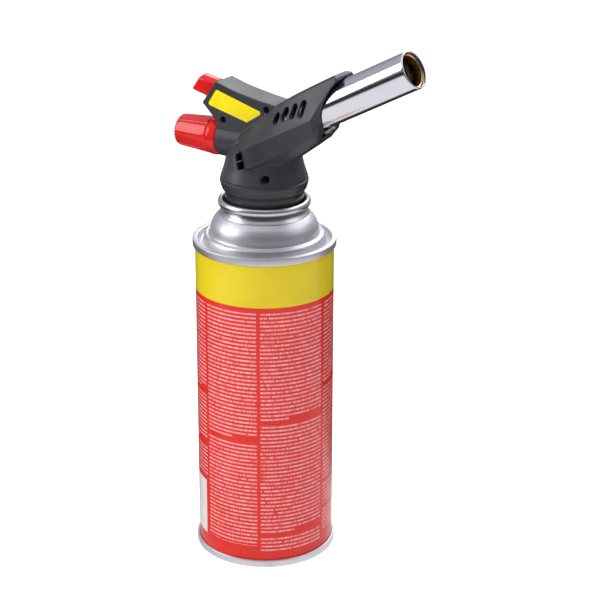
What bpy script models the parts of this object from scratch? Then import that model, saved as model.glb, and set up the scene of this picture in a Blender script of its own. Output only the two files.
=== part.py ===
"""Butane torch: a bayonet gas cartridge with a clip-on burner head.

The head's mid-plane is y = 0, the burner points to +X and the knob to -X.
Stations along the burner and the igniter are lengths along their own axes.
"""
import math

import bmesh
import bpy
from mathutils import Matrix, Vector

MM = 0.001
GAP = 0.3 * MM
TURN = 2.0 * math.pi
SEGS = 40
SEGS_HOUSING = 32
SEGS_MEDIUM = 28
SEGS_SMALL = 18
SEGS_TINY = 12

# --- cartridge -------------------------------------------------------------
BODY_R = 33.0 * MM
CAN_H = 159.0 * MM
CAN_WALL = 0.4 * MM
SEAM_OUT = 1.15 * MM
SEAM_R = BODY_R + SEAM_OUT
SEAM_H = 3.6 * MM
SEAM_LIP = 0.7 * MM
SEAM_EDGE = 0.35 * MM
SEAM_GROOVE = 2.4 * MM
BASE_DOME = 6.5 * MM
BASE_KNEE_R = BODY_R * 0.6
BASE_KNEE = BASE_DOME * 0.68
COUNTERSINK_R = BODY_R - 1.7 * MM
COUNTERSINK_DROP = 2.4 * MM
SEAM_SLOPE = 0.6 * MM
TOP_DOME_RISE = 12.2 * MM
DOME_TOP = CAN_H + TOP_DOME_RISE
MOUTH_R = 12.7 * MM
CUP_BOSS_R = 5.8 * MM
CUP_TOP = DOME_TOP + 2.0 * MM
CUP_FLOOR = DOME_TOP - 4.0 * MM
CUP_FLOOR_R = 1.4 * MM
CUP_CORNER = 0.8 * MM
CUP_BOSS_FILLET = 0.8 * MM

# --- bayonet collar and the ring that hooks into it ------------------------
COLLAR_WALL_R = 19.45 * MM
COLLAR_SHEET = 0.5 * MM
COLLAR_INNER_R = 15.6 * MM
# the flared foot: (reach beyond the wall, height over the dome's top)
COLLAR_FLARE = ((1.8, 0.3), (1.55, 0.9), (1.05, 1.9), (0.6, 3.1), (0.2, 4.4))
CURL_R = 1.4 * MM
CURL_CENTRE_R = 20.55 * MM
CURL_Z = DOME_TOP + 5.9 * MM
CURL_STEPS = 9
CURL_FROM = math.radians(-142.0)
CURL_SWEEP = math.radians(312.0)
FLANGE_TOP = DOME_TOP + 3.2 * MM
FLANGE_T = 0.8 * MM
FLANGE_R = 17.0 * MM
LUGS = 3
LUG_ANGLE = math.radians(34.0)
NOTCH_ANGLE = math.radians(42.0)
NOTCH_INSET = 1.0 * MM
NOTCH_SKIN = 0.02 * MM
BAYONET_TURN = math.radians(60.0)
SKIRT_WALL = 0.8 * MM
RING_TOP = DOME_TOP + 15.5 * MM
RING_INNER_R = 15.0 * MM
LEDGE_TOP = DOME_TOP + 9.8 * MM
LEDGE_T = 1.6 * MM
LEDGE_R = 12.5 * MM

# --- valve in the cartridge ------------------------------------------------
STEM_R = 2.0 * MM
STEM_BORE = 0.8 * MM
STEM_TOP = DOME_TOP + 5.8 * MM
STEM_FLANGE_R = 3.8 * MM
STEM_FLANGE_T = 1.7 * MM
STEM_PIN = 4.0 * MM
GASKET_T = 1.0 * MM
CHAMBER_WALL = 1.3 * MM
CHAMBER_H = 13.2 * MM
CHAMBER_FLOOR = 2.3 * MM
CHAMBER_SPIGOT = 5.0 * MM
SPIGOT_SHARE = 0.6
SPRING_WIRE = 0.4 * MM
SPRING_STEPS = 9
STEM_SPRING_R = 2.9 * MM
STEM_SPRING_TURNS = 4

# --- burner axis -----------------------------------------------------------
TUBE_TILT = math.radians(28.0)
TUBE_CROSS_Z = DOME_TOP + 36.9 * MM
TUBE_R = 8.85 * MM
TUBE_WALL = 0.8 * MM
TUBE_START = 23.0 * MM
TUBE_END = 89.0 * MM
TUBE_BEVEL = 1.2 * MM
SHROUD_GAP = 0.5 * MM

# --- housing shells --------------------------------------------------------
SHELL = 1.8 * MM
BOX_HALF = 7.15 * MM
SPINDLE_Z = DOME_TOP + 32.9 * MM
BOSS_R = 8.9 * MM
BOSS_BORE = 7.3 * MM
BOSS_END = -22.4 * MM
BOSS_INNER = -4.0 * MM
BOSS_BORE_INNER = -3.0 * MM
BELL_LIP_Z = DOME_TOP + 12.2 * MM
BELL_INSIDE_Z = DOME_TOP + 15.8 * MM
BELL_STEP = 1.0 * MM
BELL_INSIDE_DROP = SHELL * 0.45
BELL_LIP = ((19.2, 0.0), (19.75, 0.35), (20.4, 1.7))
LABEL_T = 0.3 * MM
LABEL_RECESS = 0.5 * MM
LABEL_CORNER = 2.1 * MM
VENT_HALF = 1.45 * MM
VENT_LEAN = math.radians(7.0)
VENT_STEPS = 12
SIDE_REACH = 30.0 * MM
SIDE_INNER = 5.0 * MM
SCREW_R = 0.8 * MM
SCREW_HEAD_R = 1.25 * MM
SCREW_HEAD_T = 1.1 * MM
POST_R = 2.7 * MM
POST_SIDES = 10
NECK_POST_REACH = 13.6 * MM
NECK_SCREW_SCALE = 1.3
BOX_SEAT = BOX_HALF - 2.9 * MM
NECK_SEAT = 11.5 * MM
SCREW_TAIL = 0.9
SCREW_EDGE = 0.3 * MM
ARM_INSET = 2.5 * MM
ARM_REAR_INSET = 2.4 * MM
ARM_REAR_HALF = 11.0 * MM
TUBE_BORE_FROM = 10.0 * MM
TUBE_BORE_TO = 70.0 * MM
NOSE_BAY_HALF = 4.3 * MM
INTAKE_INNER = 13.4 * MM
INTAKE_OUTER = 18.9 * MM
KEEP = 300.0 * MM

# --- gas block and its fittings --------------------------------------------
COLUMN_R = 6.5 * MM
COLUMN_TOP = DOME_TOP + 34.8 * MM
BLOCK_FLANGE_T = 2.0 * MM
SIDE_ARM_R = 6.2 * MM
SIDE_ARM_END = -17.0 * MM
SIDE_ARM_INNER = 3.0 * MM
OUTLET_R = 6.0 * MM
OUTLET_START = -5.0 * MM
OUTLET_END = 12.0 * MM
FEED_START = -4.0 * MM
CHAMBER_END = 0.6 * MM
SPINDLE_R = 2.7 * MM
SPINDLE_BORE = 4.3 * MM
SPINDLE_INNER = -7.0 * MM
SPINDLE_OUTER = -36.0 * MM
SPINDLE_NECK_R = 2.2 * MM
NEEDLE_R = 1.2 * MM
NEEDLE_TAIL = -11.5 * MM
NEEDLE_TIP = -1.2 * MM
NEEDLE_TIP_R = 0.15 * MM
NEEDLE_TAPER = 2.2 * MM
NEEDLE_SEAT = SPINDLE_INNER + 4.5 * MM
NEEDLE_POCKET = 1.5 * MM
ORING_R = 3.5 * MM
ORING_WIRE = 0.45 * MM
ORING_X = -13.6 * MM
ORING_SIDES = 8
NUT_R = 5.8 * MM
NUT_T = 3.0 * MM
NUT_SHANK = 1.3 * MM
NOZZLE_SHANK_R = 2.9 * MM
NOZZLE_START = 6.5 * MM
NOZZLE_HEX_R = 4.2 * MM
NOZZLE_HEX_T = 3.0 * MM
NOZZLE_TIP = 19.5 * MM
NOZZLE_BORE = 0.5 * MM
GAS_BORE = 1.2 * MM
NIPPLE_R = 4.5 * MM
NIPPLE_TIP_R = 3.2 * MM
NIPPLE_TOP = DOME_TOP + 14.8 * MM
NIPPLE_SHOULDER = DOME_TOP + 8.0 * MM
FILTER_POCKET = 3.0 * MM
FILTER_R = 2.2 * MM
FILTER_T = 1.5 * MM
SEAL_R = 4.8 * MM

# --- mixer, flame holder, electrode ----------------------------------------
MIXER_START = 11.0 * MM
MIXER_SLEEVE_WALL = 0.8 * MM
MIXER_HUB_END = 30.0 * MM
MIXER_THROAT_R = 5.2 * MM
MIXER_THROAT_END = 60.0 * MM
MIXER_THROAT_WALL = 0.6 * MM
MIXER_STEP = 1.0 * MM
MIXER_TAPER = 3.0 * MM
MIXER_WINDOWS = 4
WINDOW_START = 14.0 * MM
WINDOW_END = 23.0 * MM
WINDOW_HALF = 2.6 * MM
HOLDER_START = 77.0 * MM
HOLDER_END = 83.0 * MM
HOLDER_LOBES = 6
HOLDER_WAIST = 0.7
HOLDER_PORT = 0.3
MOUTH_RING_START = HOLDER_END + GAP
MOUTH_RING_END = 87.4 * MM
MOUTH_RING_WALL = 0.7 * MM
MOUTH_RING_LEAN = 0.4 * MM
ELECTRODE_OFF = 6.6 * MM
ELECTRODE_R = 0.35 * MM
INSULATOR_WALL = 0.4 * MM
INSULATOR_START = 17.0 * MM
INSULATOR_SIDES = 10
ELECTRODE_SIDES = 8
ELECTRODE_TAIL = 0.5 * MM
INSULATOR_END = 64.0 * MM
ELECTRODE_TIP = 75.0 * MM

# --- clamp under the burner tube -------------------------------------------
CLAMP_T = 0.9 * MM
CLAMP_FROM = 29.0 * MM
CLAMP_TO = 36.5 * MM
CLAMP_HALF = 3.2 * MM
CLAMP_SCREW_AT = 33.5 * MM
CLAMP_HOLE_R = 1.2 * MM
CLAMP_SHANK_R = 0.8 * MM
CLAMP_SHANK = 1.1 * MM
CLAMP_HEAD_R = 1.9 * MM
CLAMP_HEAD_FACE_R = 1.7 * MM
CLAMP_HEAD_EDGE = 0.5 * MM
CLAMP_HEAD_T = 0.6 * MM

# --- knob ------------------------------------------------------------------
KNOB_TIP = -46.5 * MM
KNOB_TIP_R = 7.65 * MM
KNOB_WIDE = -26.8 * MM
KNOB_WIDE_R = 9.15 * MM
KNOB_FOOT_R = 8.75 * MM
KNOB_EDGE = 0.9 * MM
KNOB_FLUTES = 8
KNOB_FLUTE_DEPTH = 0.35 * MM
KNOB_FLUTE_STEPS = 5
KNOB_SHOULDER_DROP = 0.3 * MM
KNOB_SHOULDER = 3.0 * MM

# --- igniter ---------------------------------------------------------------
IGNITER_TILT = math.radians(13.0)
IGNITER_X = -26.1 * MM
IGNITER_Z = DOME_TOP + 55.6 * MM
BUTTON_OUT = 9.9 * MM
BUTTON_IN = 1.0 * MM
BUTTON_HALF_W = 4.5 * MM
BUTTON_SIDE = 3.5 * MM
BUTTON_PEAK = 5.0 * MM
BUTTON_NECK_R = 3.2 * MM
BUTTON_NECK_END = 6.0 * MM
BUTTON_NECK_LAP = 0.5 * MM
BUTTON_TRAVEL = 5.0 * MM
BUTTON_FACET = 0.35
BUTTON_FACE = 0.93
BUTTON_HOLE_OUT = -15.0 * MM
BUTTON_CLEAR = GAP * 1.2
REAR_LEAN = math.radians(34.2)
PIEZO_START = BUTTON_NECK_END + BUTTON_TRAVEL + GAP
PIEZO_LENGTH = 14.7 * MM
PIEZO_END = PIEZO_START + PIEZO_LENGTH
PIEZO_HALF_W = 3.9 * MM
PIEZO_HALF_H = 3.2 * MM
PLUNGER_R = 2.5 * MM
PLUNGER_END = 14.0 * MM
IGNITER_SPRING_TURNS = 3
LEAD_R = 0.6 * MM
LEAD_SIDES = 6

# --- colours ---------------------------------------------------------------
RED = (0.78, 0.03, 0.02)
YELLOW = (0.93, 0.72, 0.02)
GREY = (0.06, 0.058, 0.066)
BLACK = (0.025, 0.025, 0.028)
TIN = (0.75, 0.75, 0.77)
BRASS = (0.62, 0.45, 0.18)
CERAMIC = (0.86, 0.84, 0.78)

MOUTH_X = TUBE_END * math.cos(TUBE_TILT) + (TUBE_R - TUBE_WALL) * math.sin(TUBE_TILT)
CAN_X = -(KNOB_TIP + MOUTH_X) / 2.0


def clear_scene():
    for old in list(bpy.data.objects):
        bpy.data.objects.remove(old, do_unlink=True)


def material(name, colour, metal, rough):
    made = bpy.data.materials.new(name)
    made.use_nodes = True
    shader = made.node_tree.nodes["Principled BSDF"]
    shader.inputs["Base Color"].default_value = (*colour, 1.0)
    shader.inputs["Metallic"].default_value = metal
    shader.inputs["Roughness"].default_value = rough
    return made


def finish(name, bm, look, smooth=True):
    bmesh.ops.recalc_face_normals(bm, faces=bm.faces)
    mesh = bpy.data.meshes.new(name)
    bm.to_mesh(mesh)
    bm.free()
    mesh.polygons.foreach_set("use_smooth", [smooth] * len(mesh.polygons))
    if smooth:
        mesh.set_sharp_from_angle(angle=math.radians(32.0))
    made = bpy.data.objects.new(name, mesh)
    bpy.context.scene.collection.objects.link(made)
    if look:
        made.data.materials.append(material(name + "_mat", *look))
    return made


def upright(x=0.0, y=0.0, z=0.0):
    return Matrix.Translation(Vector((CAN_X + x, y, z)))


def tube_frame():
    turn = Matrix.Rotation(math.pi / 2.0 - TUBE_TILT, 4, "Y")
    return Matrix.Translation(Vector((CAN_X, 0.0, TUBE_CROSS_Z))) @ turn


def spindle_frame():
    turn = Matrix.Rotation(math.pi / 2.0, 4, "Y")
    return Matrix.Translation(Vector((CAN_X, 0.0, SPINDLE_Z))) @ turn


def igniter_frame():
    turn = Matrix.Rotation(math.pi / 2.0 + IGNITER_TILT, 4, "Y")
    return Matrix.Translation(Vector((CAN_X + IGNITER_X, 0.0, IGNITER_Z))) @ turn


def lathe_mesh(loop, steps, place):
    bm = bmesh.new()
    rings = []
    for radius, height in loop:
        if radius < 1e-7:
            rings.append([bm.verts.new(place @ Vector((0.0, 0.0, height)))])
            continue
        ring = []
        for step in range(steps):
            angle = TURN * step / steps
            spot = Vector((radius * math.cos(angle), radius * math.sin(angle), height))
            ring.append(bm.verts.new(place @ spot))
        rings.append(ring)
    for index, ring in enumerate(rings):
        other = rings[(index + 1) % len(rings)]
        if len(ring) == 1 and len(other) == 1:
            continue
        for step in range(steps):
            after = (step + 1) % steps
            corners = [ring[step % len(ring)], ring[after % len(ring)]]
            corners += [other[after % len(other)], other[step % len(other)]]
            bm.faces.new(list(dict.fromkeys(corners)))
    return bm


def lathe(name, loop, place, look, steps=SEGS):
    return finish(name, lathe_mesh(loop, steps, place), look)


def prism_mesh(outline, low, high, place):
    bm = bmesh.new()
    floor = [bm.verts.new(place @ Vector((a, b, low))) for a, b in outline]
    roof = [bm.verts.new(place @ Vector((a, b, high))) for a, b in outline]
    bm.faces.new(floor)
    bm.faces.new(list(reversed(roof)))
    count = len(outline)
    for index in range(count):
        after = (index + 1) % count
        bm.faces.new([floor[index], roof[index], roof[after], floor[after]])
    return bm


def prism(name, outline, low, high, place, look, smooth=False):
    return finish(name, prism_mesh(outline, low, high, place), look, smooth)


def side_view():
    """Local x, y, z become world x, z and -y, so an outline is a side view."""
    return upright() @ Matrix.Rotation(math.pi / 2.0, 4, "X")


def tube_side_view():
    """The same for outlines given as (station, height) on the burner axis."""
    return side_view() @ Matrix.Translation(Vector((0.0, TUBE_CROSS_Z, 0.0))) @ \
        Matrix.Rotation(TUBE_TILT, 4, "Z")


def bridged(name, sections, look):
    """A closed loft through rings with the same number of points."""
    bm = bmesh.new()
    rings = [[bm.verts.new(point) for point in ring] for ring in sections]
    for ring, other in zip(rings, rings[1:]):
        count = len(ring)
        for index in range(count):
            after = (index + 1) % count
            bm.faces.new([ring[index], ring[after], other[after], other[index]])
    bm.faces.new(rings[0])
    bm.faces.new(rings[-1])
    bmesh.ops.triangulate(bm, faces=bm.faces)
    return finish(name, bm, look, False)


def combine(target, tool, operation):
    step = target.modifiers.new("combine", "BOOLEAN")
    step.operation = operation
    step.solver = "EXACT"
    step.object = tool
    bpy.context.view_layer.update()
    graph = bpy.context.evaluated_depsgraph_get()
    mesh = bpy.data.meshes.new_from_object(target.evaluated_get(graph))
    target.modifiers.clear()
    bm = bmesh.new()
    bm.from_mesh(mesh)
    bmesh.ops.triangulate(bm, faces=bm.faces)
    bmesh.ops.remove_doubles(bm, verts=bm.verts, dist=0.0002 * MM)
    bm.to_mesh(mesh)
    bm.free()
    old = target.data
    target.data = mesh
    bpy.data.meshes.remove(old)
    bpy.data.objects.remove(tool, do_unlink=True)


def fuse(target, tool):
    combine(target, tool, "UNION")


def cut(target, tool):
    combine(target, tool, "DIFFERENCE")


def tidy(target, smooth=True):
    bm = bmesh.new()
    bm.from_mesh(target.data)
    bmesh.ops.remove_doubles(bm, verts=bm.verts, dist=0.002 * MM)
    flat = math.radians(0.5)
    bmesh.ops.dissolve_limit(bm, angle_limit=flat, verts=bm.verts, edges=bm.edges)
    bmesh.ops.triangulate(bm, faces=bm.faces)
    bm.to_mesh(target.data)
    bm.free()
    target.data.polygons.foreach_set("use_smooth", [smooth] * len(target.data.polygons))
    target.data.set_sharp_from_angle(angle=math.radians(32.0))


def pivot(target, spot):
    target.data.transform(Matrix.Translation(-spot))
    target.location = spot


def polygon(sides, radius, start=0.0):
    spots = []
    for index in range(sides):
        angle = start + TURN * index / sides
        spots.append((radius * math.cos(angle), radius * math.sin(angle)))
    return spots


def thick_path(path, thickness):
    """A sheet section: the path and its copy moved to the right by thickness."""
    moved = []
    for index, spot in enumerate(path):
        here = Vector(spot)
        before = Vector(path[max(index - 1, 0)])
        after = Vector(path[min(index + 1, len(path) - 1)])
        way_in = (here - before).normalized() if index else (after - here).normalized()
        way_out = (after - here).normalized() if after != here else way_in
        bisect = (way_in + way_out).normalized()
        side = Vector((bisect.y, -bisect.x))
        spread = max(side.dot(Vector((way_in.y, -way_in.x))), 0.5)
        moved.append(tuple(here + side * (thickness / spread)))
    return list(path) + moved[::-1]


def swept(name, path, radius, look, steps=8):
    """A round wire through the given world points."""
    bm = bmesh.new()
    rings = []
    normal = None
    for index, spot in enumerate(path):
        ahead = path[min(index + 1, len(path) - 1)]
        behind = path[max(index - 1, 0)]
        tangent = (ahead - behind).normalized()
        if normal is None:
            normal = tangent.orthogonal().normalized()
        normal = (normal - tangent * normal.dot(tangent)).normalized()
        side = tangent.cross(normal)
        ring = []
        for step in range(steps):
            angle = TURN * step / steps
            off = normal * math.cos(angle) + side * math.sin(angle)
            ring.append(bm.verts.new(spot + off * radius))
        rings.append(ring)
    for ring, other in zip(rings, rings[1:]):
        for step in range(steps):
            after = (step + 1) % steps
            bm.faces.new([ring[step], ring[after], other[after], other[step]])
    bm.faces.new(rings[0])
    bm.faces.new(rings[-1])
    return finish(name, bm, look)


def coil(name, place, radius, low, high, turns, look):
    path = []
    count = turns * SPRING_STEPS
    for index in range(count + 1):
        angle = TURN * turns * index / count
        height = low + (high - low) * index / count
        spot = Vector((radius * math.cos(angle), radius * math.sin(angle), height))
        path.append(place @ spot)
    return swept(name, path, SPRING_WIRE / 2.0, look, 5)


def mm(*pairs):
    return [(a * MM, b * MM) for a, b in pairs]


def raised(*pairs):
    """Side outlines in millimetres, with heights over the top of the can's dome."""
    return [(a * MM, DOME_TOP + b * MM) for a, b in pairs]


def sector(centre, width, inner, outer, count=6):
    """A ring sector as an outline in the plan view."""
    spots = []
    for index in range(count + 1):
        angle = centre - width / 2.0 + width * index / count
        spots.append((outer * math.cos(angle), outer * math.sin(angle)))
    for index in range(count, -1, -1):
        angle = centre - width / 2.0 + width * index / count
        spots.append((inner * math.cos(angle), inner * math.sin(angle)))
    return spots


# ---------------------------------------------------------------------------
# cartridge
# ---------------------------------------------------------------------------
GROOVE_OUT = BODY_R + GAP
GROOVE_IN = BODY_R - CAN_WALL - GAP
SEAM_IN = GROOVE_IN - SEAM_LIP
GROOVE_FLOOR = SEAM_H - SEAM_GROOVE

# (share of the way from the collar's wall to the can's, height over the seam in mm)
DOME_FACE = [(0.764, -3.0), (0.6974, -0.2), (0.6384, 1.9), (0.5277, 2.0), (0.4613, 3.5)]
DOME_FACE += [(0.4244, 6.4), (0.3137, 9.5), (0.1587, 11.7)]
MOUTH_CURL = ((2.1, 0.0), (1.2, 0.9), (0.0, 0.5), (0.0, -0.8))
CUP_HOOK = ((2.5, 0.7), (1.9, 1.6), (0.4, 1.8))
CUP_HOOK_END = 1.2 * MM
FOOT_KNEE_R = GROOVE_IN * 0.93


def make_can():
    wall_low = GROOVE_FLOOR + GAP
    wall = [(BODY_R, wall_low), (BODY_R, CAN_H - wall_low)]
    wall += [(BODY_R - CAN_WALL, CAN_H - wall_low), (BODY_R - CAN_WALL, wall_low)]
    lathe("can_body", wall, upright(), (RED, 0.0, 0.3))

    foot = [(SEAM_R, SEAM_EDGE), (SEAM_R, SEAM_H - SEAM_EDGE)]
    foot += [(SEAM_R - SEAM_EDGE, SEAM_H), (GROOVE_OUT, SEAM_H)]
    foot += [(GROOVE_OUT, GROOVE_FLOOR), (GROOVE_IN, GROOVE_FLOOR)]
    foot += [(GROOVE_IN, SEAM_H + GAP), (FOOT_KNEE_R, SEAM_H + GAP)]
    foot += [(BASE_KNEE_R, SEAM_H + BASE_KNEE), (0.0, SEAM_H + BASE_DOME)]
    foot += [(0.0, SEAM_H + BASE_DOME - CAN_WALL)]
    foot += [(BASE_KNEE_R, SEAM_H + BASE_KNEE - CAN_WALL)]
    foot += [(FOOT_KNEE_R, SEAM_H - SEAM_LIP), (SEAM_IN, SEAM_H - SEAM_LIP * 1.8)]
    foot += [(SEAM_IN, SEAM_EDGE), (SEAM_IN + SEAM_EDGE, 0.0), (SEAM_R - SEAM_EDGE, 0.0)]
    lathe("can_base", foot, upright(), (TIN, 1.0, 0.3))

    top_groove = CAN_H - GROOVE_FLOOR
    low_edge = CAN_H - SEAM_H
    face = [(SEAM_IN, CAN_H - SEAM_SLOPE), (COUNTERSINK_R, CAN_H - COUNTERSINK_DROP)]
    for share, rise in DOME_FACE:
        radius = COLLAR_WALL_R + share * (BODY_R - COLLAR_WALL_R)
        face.append((radius, CAN_H + rise * MM))
    face.append((COLLAR_WALL_R, DOME_TOP))
    face += [(MOUTH_R + out * MM, DOME_TOP + rise * MM) for out, rise in MOUTH_CURL]
    sheet = thick_path(face, -CAN_WALL)
    back = sheet[len(face):]
    loop = [(GROOVE_OUT, low_edge), (SEAM_R - SEAM_EDGE, low_edge)]
    loop += [(SEAM_R, low_edge + SEAM_EDGE), (SEAM_R, CAN_H - SEAM_EDGE)]
    loop += [(SEAM_R - SEAM_EDGE, CAN_H), (SEAM_IN + SEAM_EDGE, CAN_H)]
    loop += face + back[:-2]
    loop += [(GROOVE_IN, CAN_H - COUNTERSINK_DROP), (GROOVE_IN, top_groove), (GROOVE_OUT, top_groove)]
    lathe("can_top_dome", loop, upright(), (TIN, 1.0, 0.25))

    path = [(MOUTH_R + out * MM, DOME_TOP + rise * MM) for out, rise in CUP_HOOK]
    path += [(MOUTH_R - GAP - CAN_WALL, DOME_TOP + CUP_HOOK_END)]
    path += [(MOUTH_R - GAP - CAN_WALL, CUP_FLOOR + CUP_CORNER)]
    path += [(MOUTH_R - CUP_FLOOR_R, CUP_FLOOR)]
    path += [(CUP_BOSS_R + CAN_WALL + CUP_BOSS_FILLET, CUP_FLOOR)]
    path += [(CUP_BOSS_R + CAN_WALL, CUP_FLOOR + CUP_BOSS_FILLET)]
    path += [(CUP_BOSS_R + CAN_WALL, CUP_TOP)]
    path += [(STEM_R + GAP, CUP_TOP)]
    lathe("valve_cup", thick_path(path, -CAN_WALL), upright(), (TIN, 1.0, 0.3), SEGS_HOUSING)


def make_collar():
    inner = COLLAR_WALL_R - COLLAR_SHEET
    floor = DOME_TOP + GAP
    loop = [(COLLAR_INNER_R, floor)]
    loop += [(COLLAR_WALL_R + out * MM, DOME_TOP + rise * MM) for out, rise in COLLAR_FLARE]
    bead = []
    for index in range(CURL_STEPS):
        angle = CURL_FROM + CURL_SWEEP * index / CURL_STEPS
        radius = CURL_CENTRE_R + CURL_R * math.cos(angle)
        bead.append((radius, CURL_Z + CURL_R * math.sin(angle)))
    loop += bead
    loop += [(inner, CURL_Z), (inner, FLANGE_TOP), (FLANGE_R, FLANGE_TOP)]
    loop += [(FLANGE_R, FLANGE_TOP - FLANGE_T), (inner, FLANGE_TOP - FLANGE_T)]
    loop += [(inner, floor + COLLAR_SHEET), (COLLAR_INNER_R, floor + COLLAR_SHEET)]
    collar = lathe("mounting_collar", loop, upright(), (TIN, 1.0, 0.2))
    for index in range(LUGS):
        angle = TURN * index / LUGS + BAYONET_TURN
        outline = sector(angle, NOTCH_ANGLE, FLANGE_R - NOTCH_INSET, inner - NOTCH_SKIN)
        tool = prism("notch", outline, FLANGE_TOP - 1.5 * FLANGE_T,
                     FLANGE_TOP + FLANGE_T, upright(), None)
        cut(collar, tool)
    tidy(collar)


def make_can_valve():
    roof = CUP_TOP - CAN_WALL - GAP
    under = roof - GASKET_T
    hole = STEM_R + GAP
    outer = CUP_BOSS_R - GAP
    ring = [(hole, under), (outer, under), (outer, roof), (hole, roof)]
    lathe("stem_gasket", ring, upright(), (BLACK, 0.0, 0.8), SEGS_SMALL)

    top = under - GAP
    floor = top - CHAMBER_H
    cavity = outer - CHAMBER_WALL
    spigot_r = cavity * SPIGOT_SHARE
    loop = [(outer, top), (outer, floor), (spigot_r, floor)]
    loop += [(spigot_r, floor - CHAMBER_SPIGOT), (GAS_BORE, floor - CHAMBER_SPIGOT)]
    loop += [(GAS_BORE, floor + CHAMBER_FLOOR), (cavity, floor + CHAMBER_FLOOR), (cavity, top)]
    lathe("valve_chamber", loop, upright(), (CERAMIC, 0.0, 0.5), SEGS_SMALL)

    flange_low = top - STEM_FLANGE_T
    shank = STEM_SPRING_R - SPRING_WIRE - 2.0 * GAP
    loop = [(STEM_BORE, STEM_TOP), (STEM_R, STEM_TOP), (STEM_R, top)]
    loop += [(STEM_FLANGE_R, top), (STEM_FLANGE_R, flange_low), (shank, flange_low)]
    loop += [(shank, flange_low - STEM_PIN), (0.0, flange_low - STEM_PIN)]
    loop += [(0.0, flange_low), (STEM_BORE, flange_low)]
    stem = lathe("valve_stem", loop, upright(), (CERAMIC, 0.0, 0.4), SEGS_SMALL)
    pivot(stem, Vector((CAN_X, 0.0, STEM_TOP)))

    low = floor + CHAMBER_FLOOR + GAP + SPRING_WIRE / 2.0
    high = flange_low - GAP - SPRING_WIRE / 2.0
    coil("stem_spring", upright(), STEM_SPRING_R, low, high, STEM_SPRING_TURNS, (TIN, 1.0, 0.3))


# ---------------------------------------------------------------------------
# head: base ring and gas path
# ---------------------------------------------------------------------------
RING_R = COLLAR_WALL_R - COLLAR_SHEET - GAP
SKIRT_R = FLANGE_R - GAP
SKIRT_LOW = DOME_TOP + GAP + COLLAR_SHEET + GAP
LUG_TOP = FLANGE_TOP - FLANGE_T - GAP


def make_base_ring():
    inner = SKIRT_R - SKIRT_WALL
    shoulder = FLANGE_TOP + GAP
    loop = [(RING_R, shoulder), (RING_R, RING_TOP), (RING_INNER_R, RING_TOP)]
    loop += [(RING_INNER_R, LEDGE_TOP), (LEDGE_R, LEDGE_TOP)]
    loop += [(LEDGE_R, LEDGE_TOP - LEDGE_T), (inner, LEDGE_TOP - LEDGE_T)]
    loop += [(inner, SKIRT_LOW), (SKIRT_R, SKIRT_LOW), (SKIRT_R, shoulder)]
    ring = lathe("base_ring", loop, upright(), (BLACK, 0.0, 0.45), SEGS_HOUSING)
    for index in range(LUGS):
        outline = sector(TURN * index / LUGS, LUG_ANGLE, SKIRT_R - SKIRT_WALL / 2.0, RING_R)
        fuse(ring, prism("lug", outline, SKIRT_LOW, LUG_TOP, upright(), None))
    tidy(ring)


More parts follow.
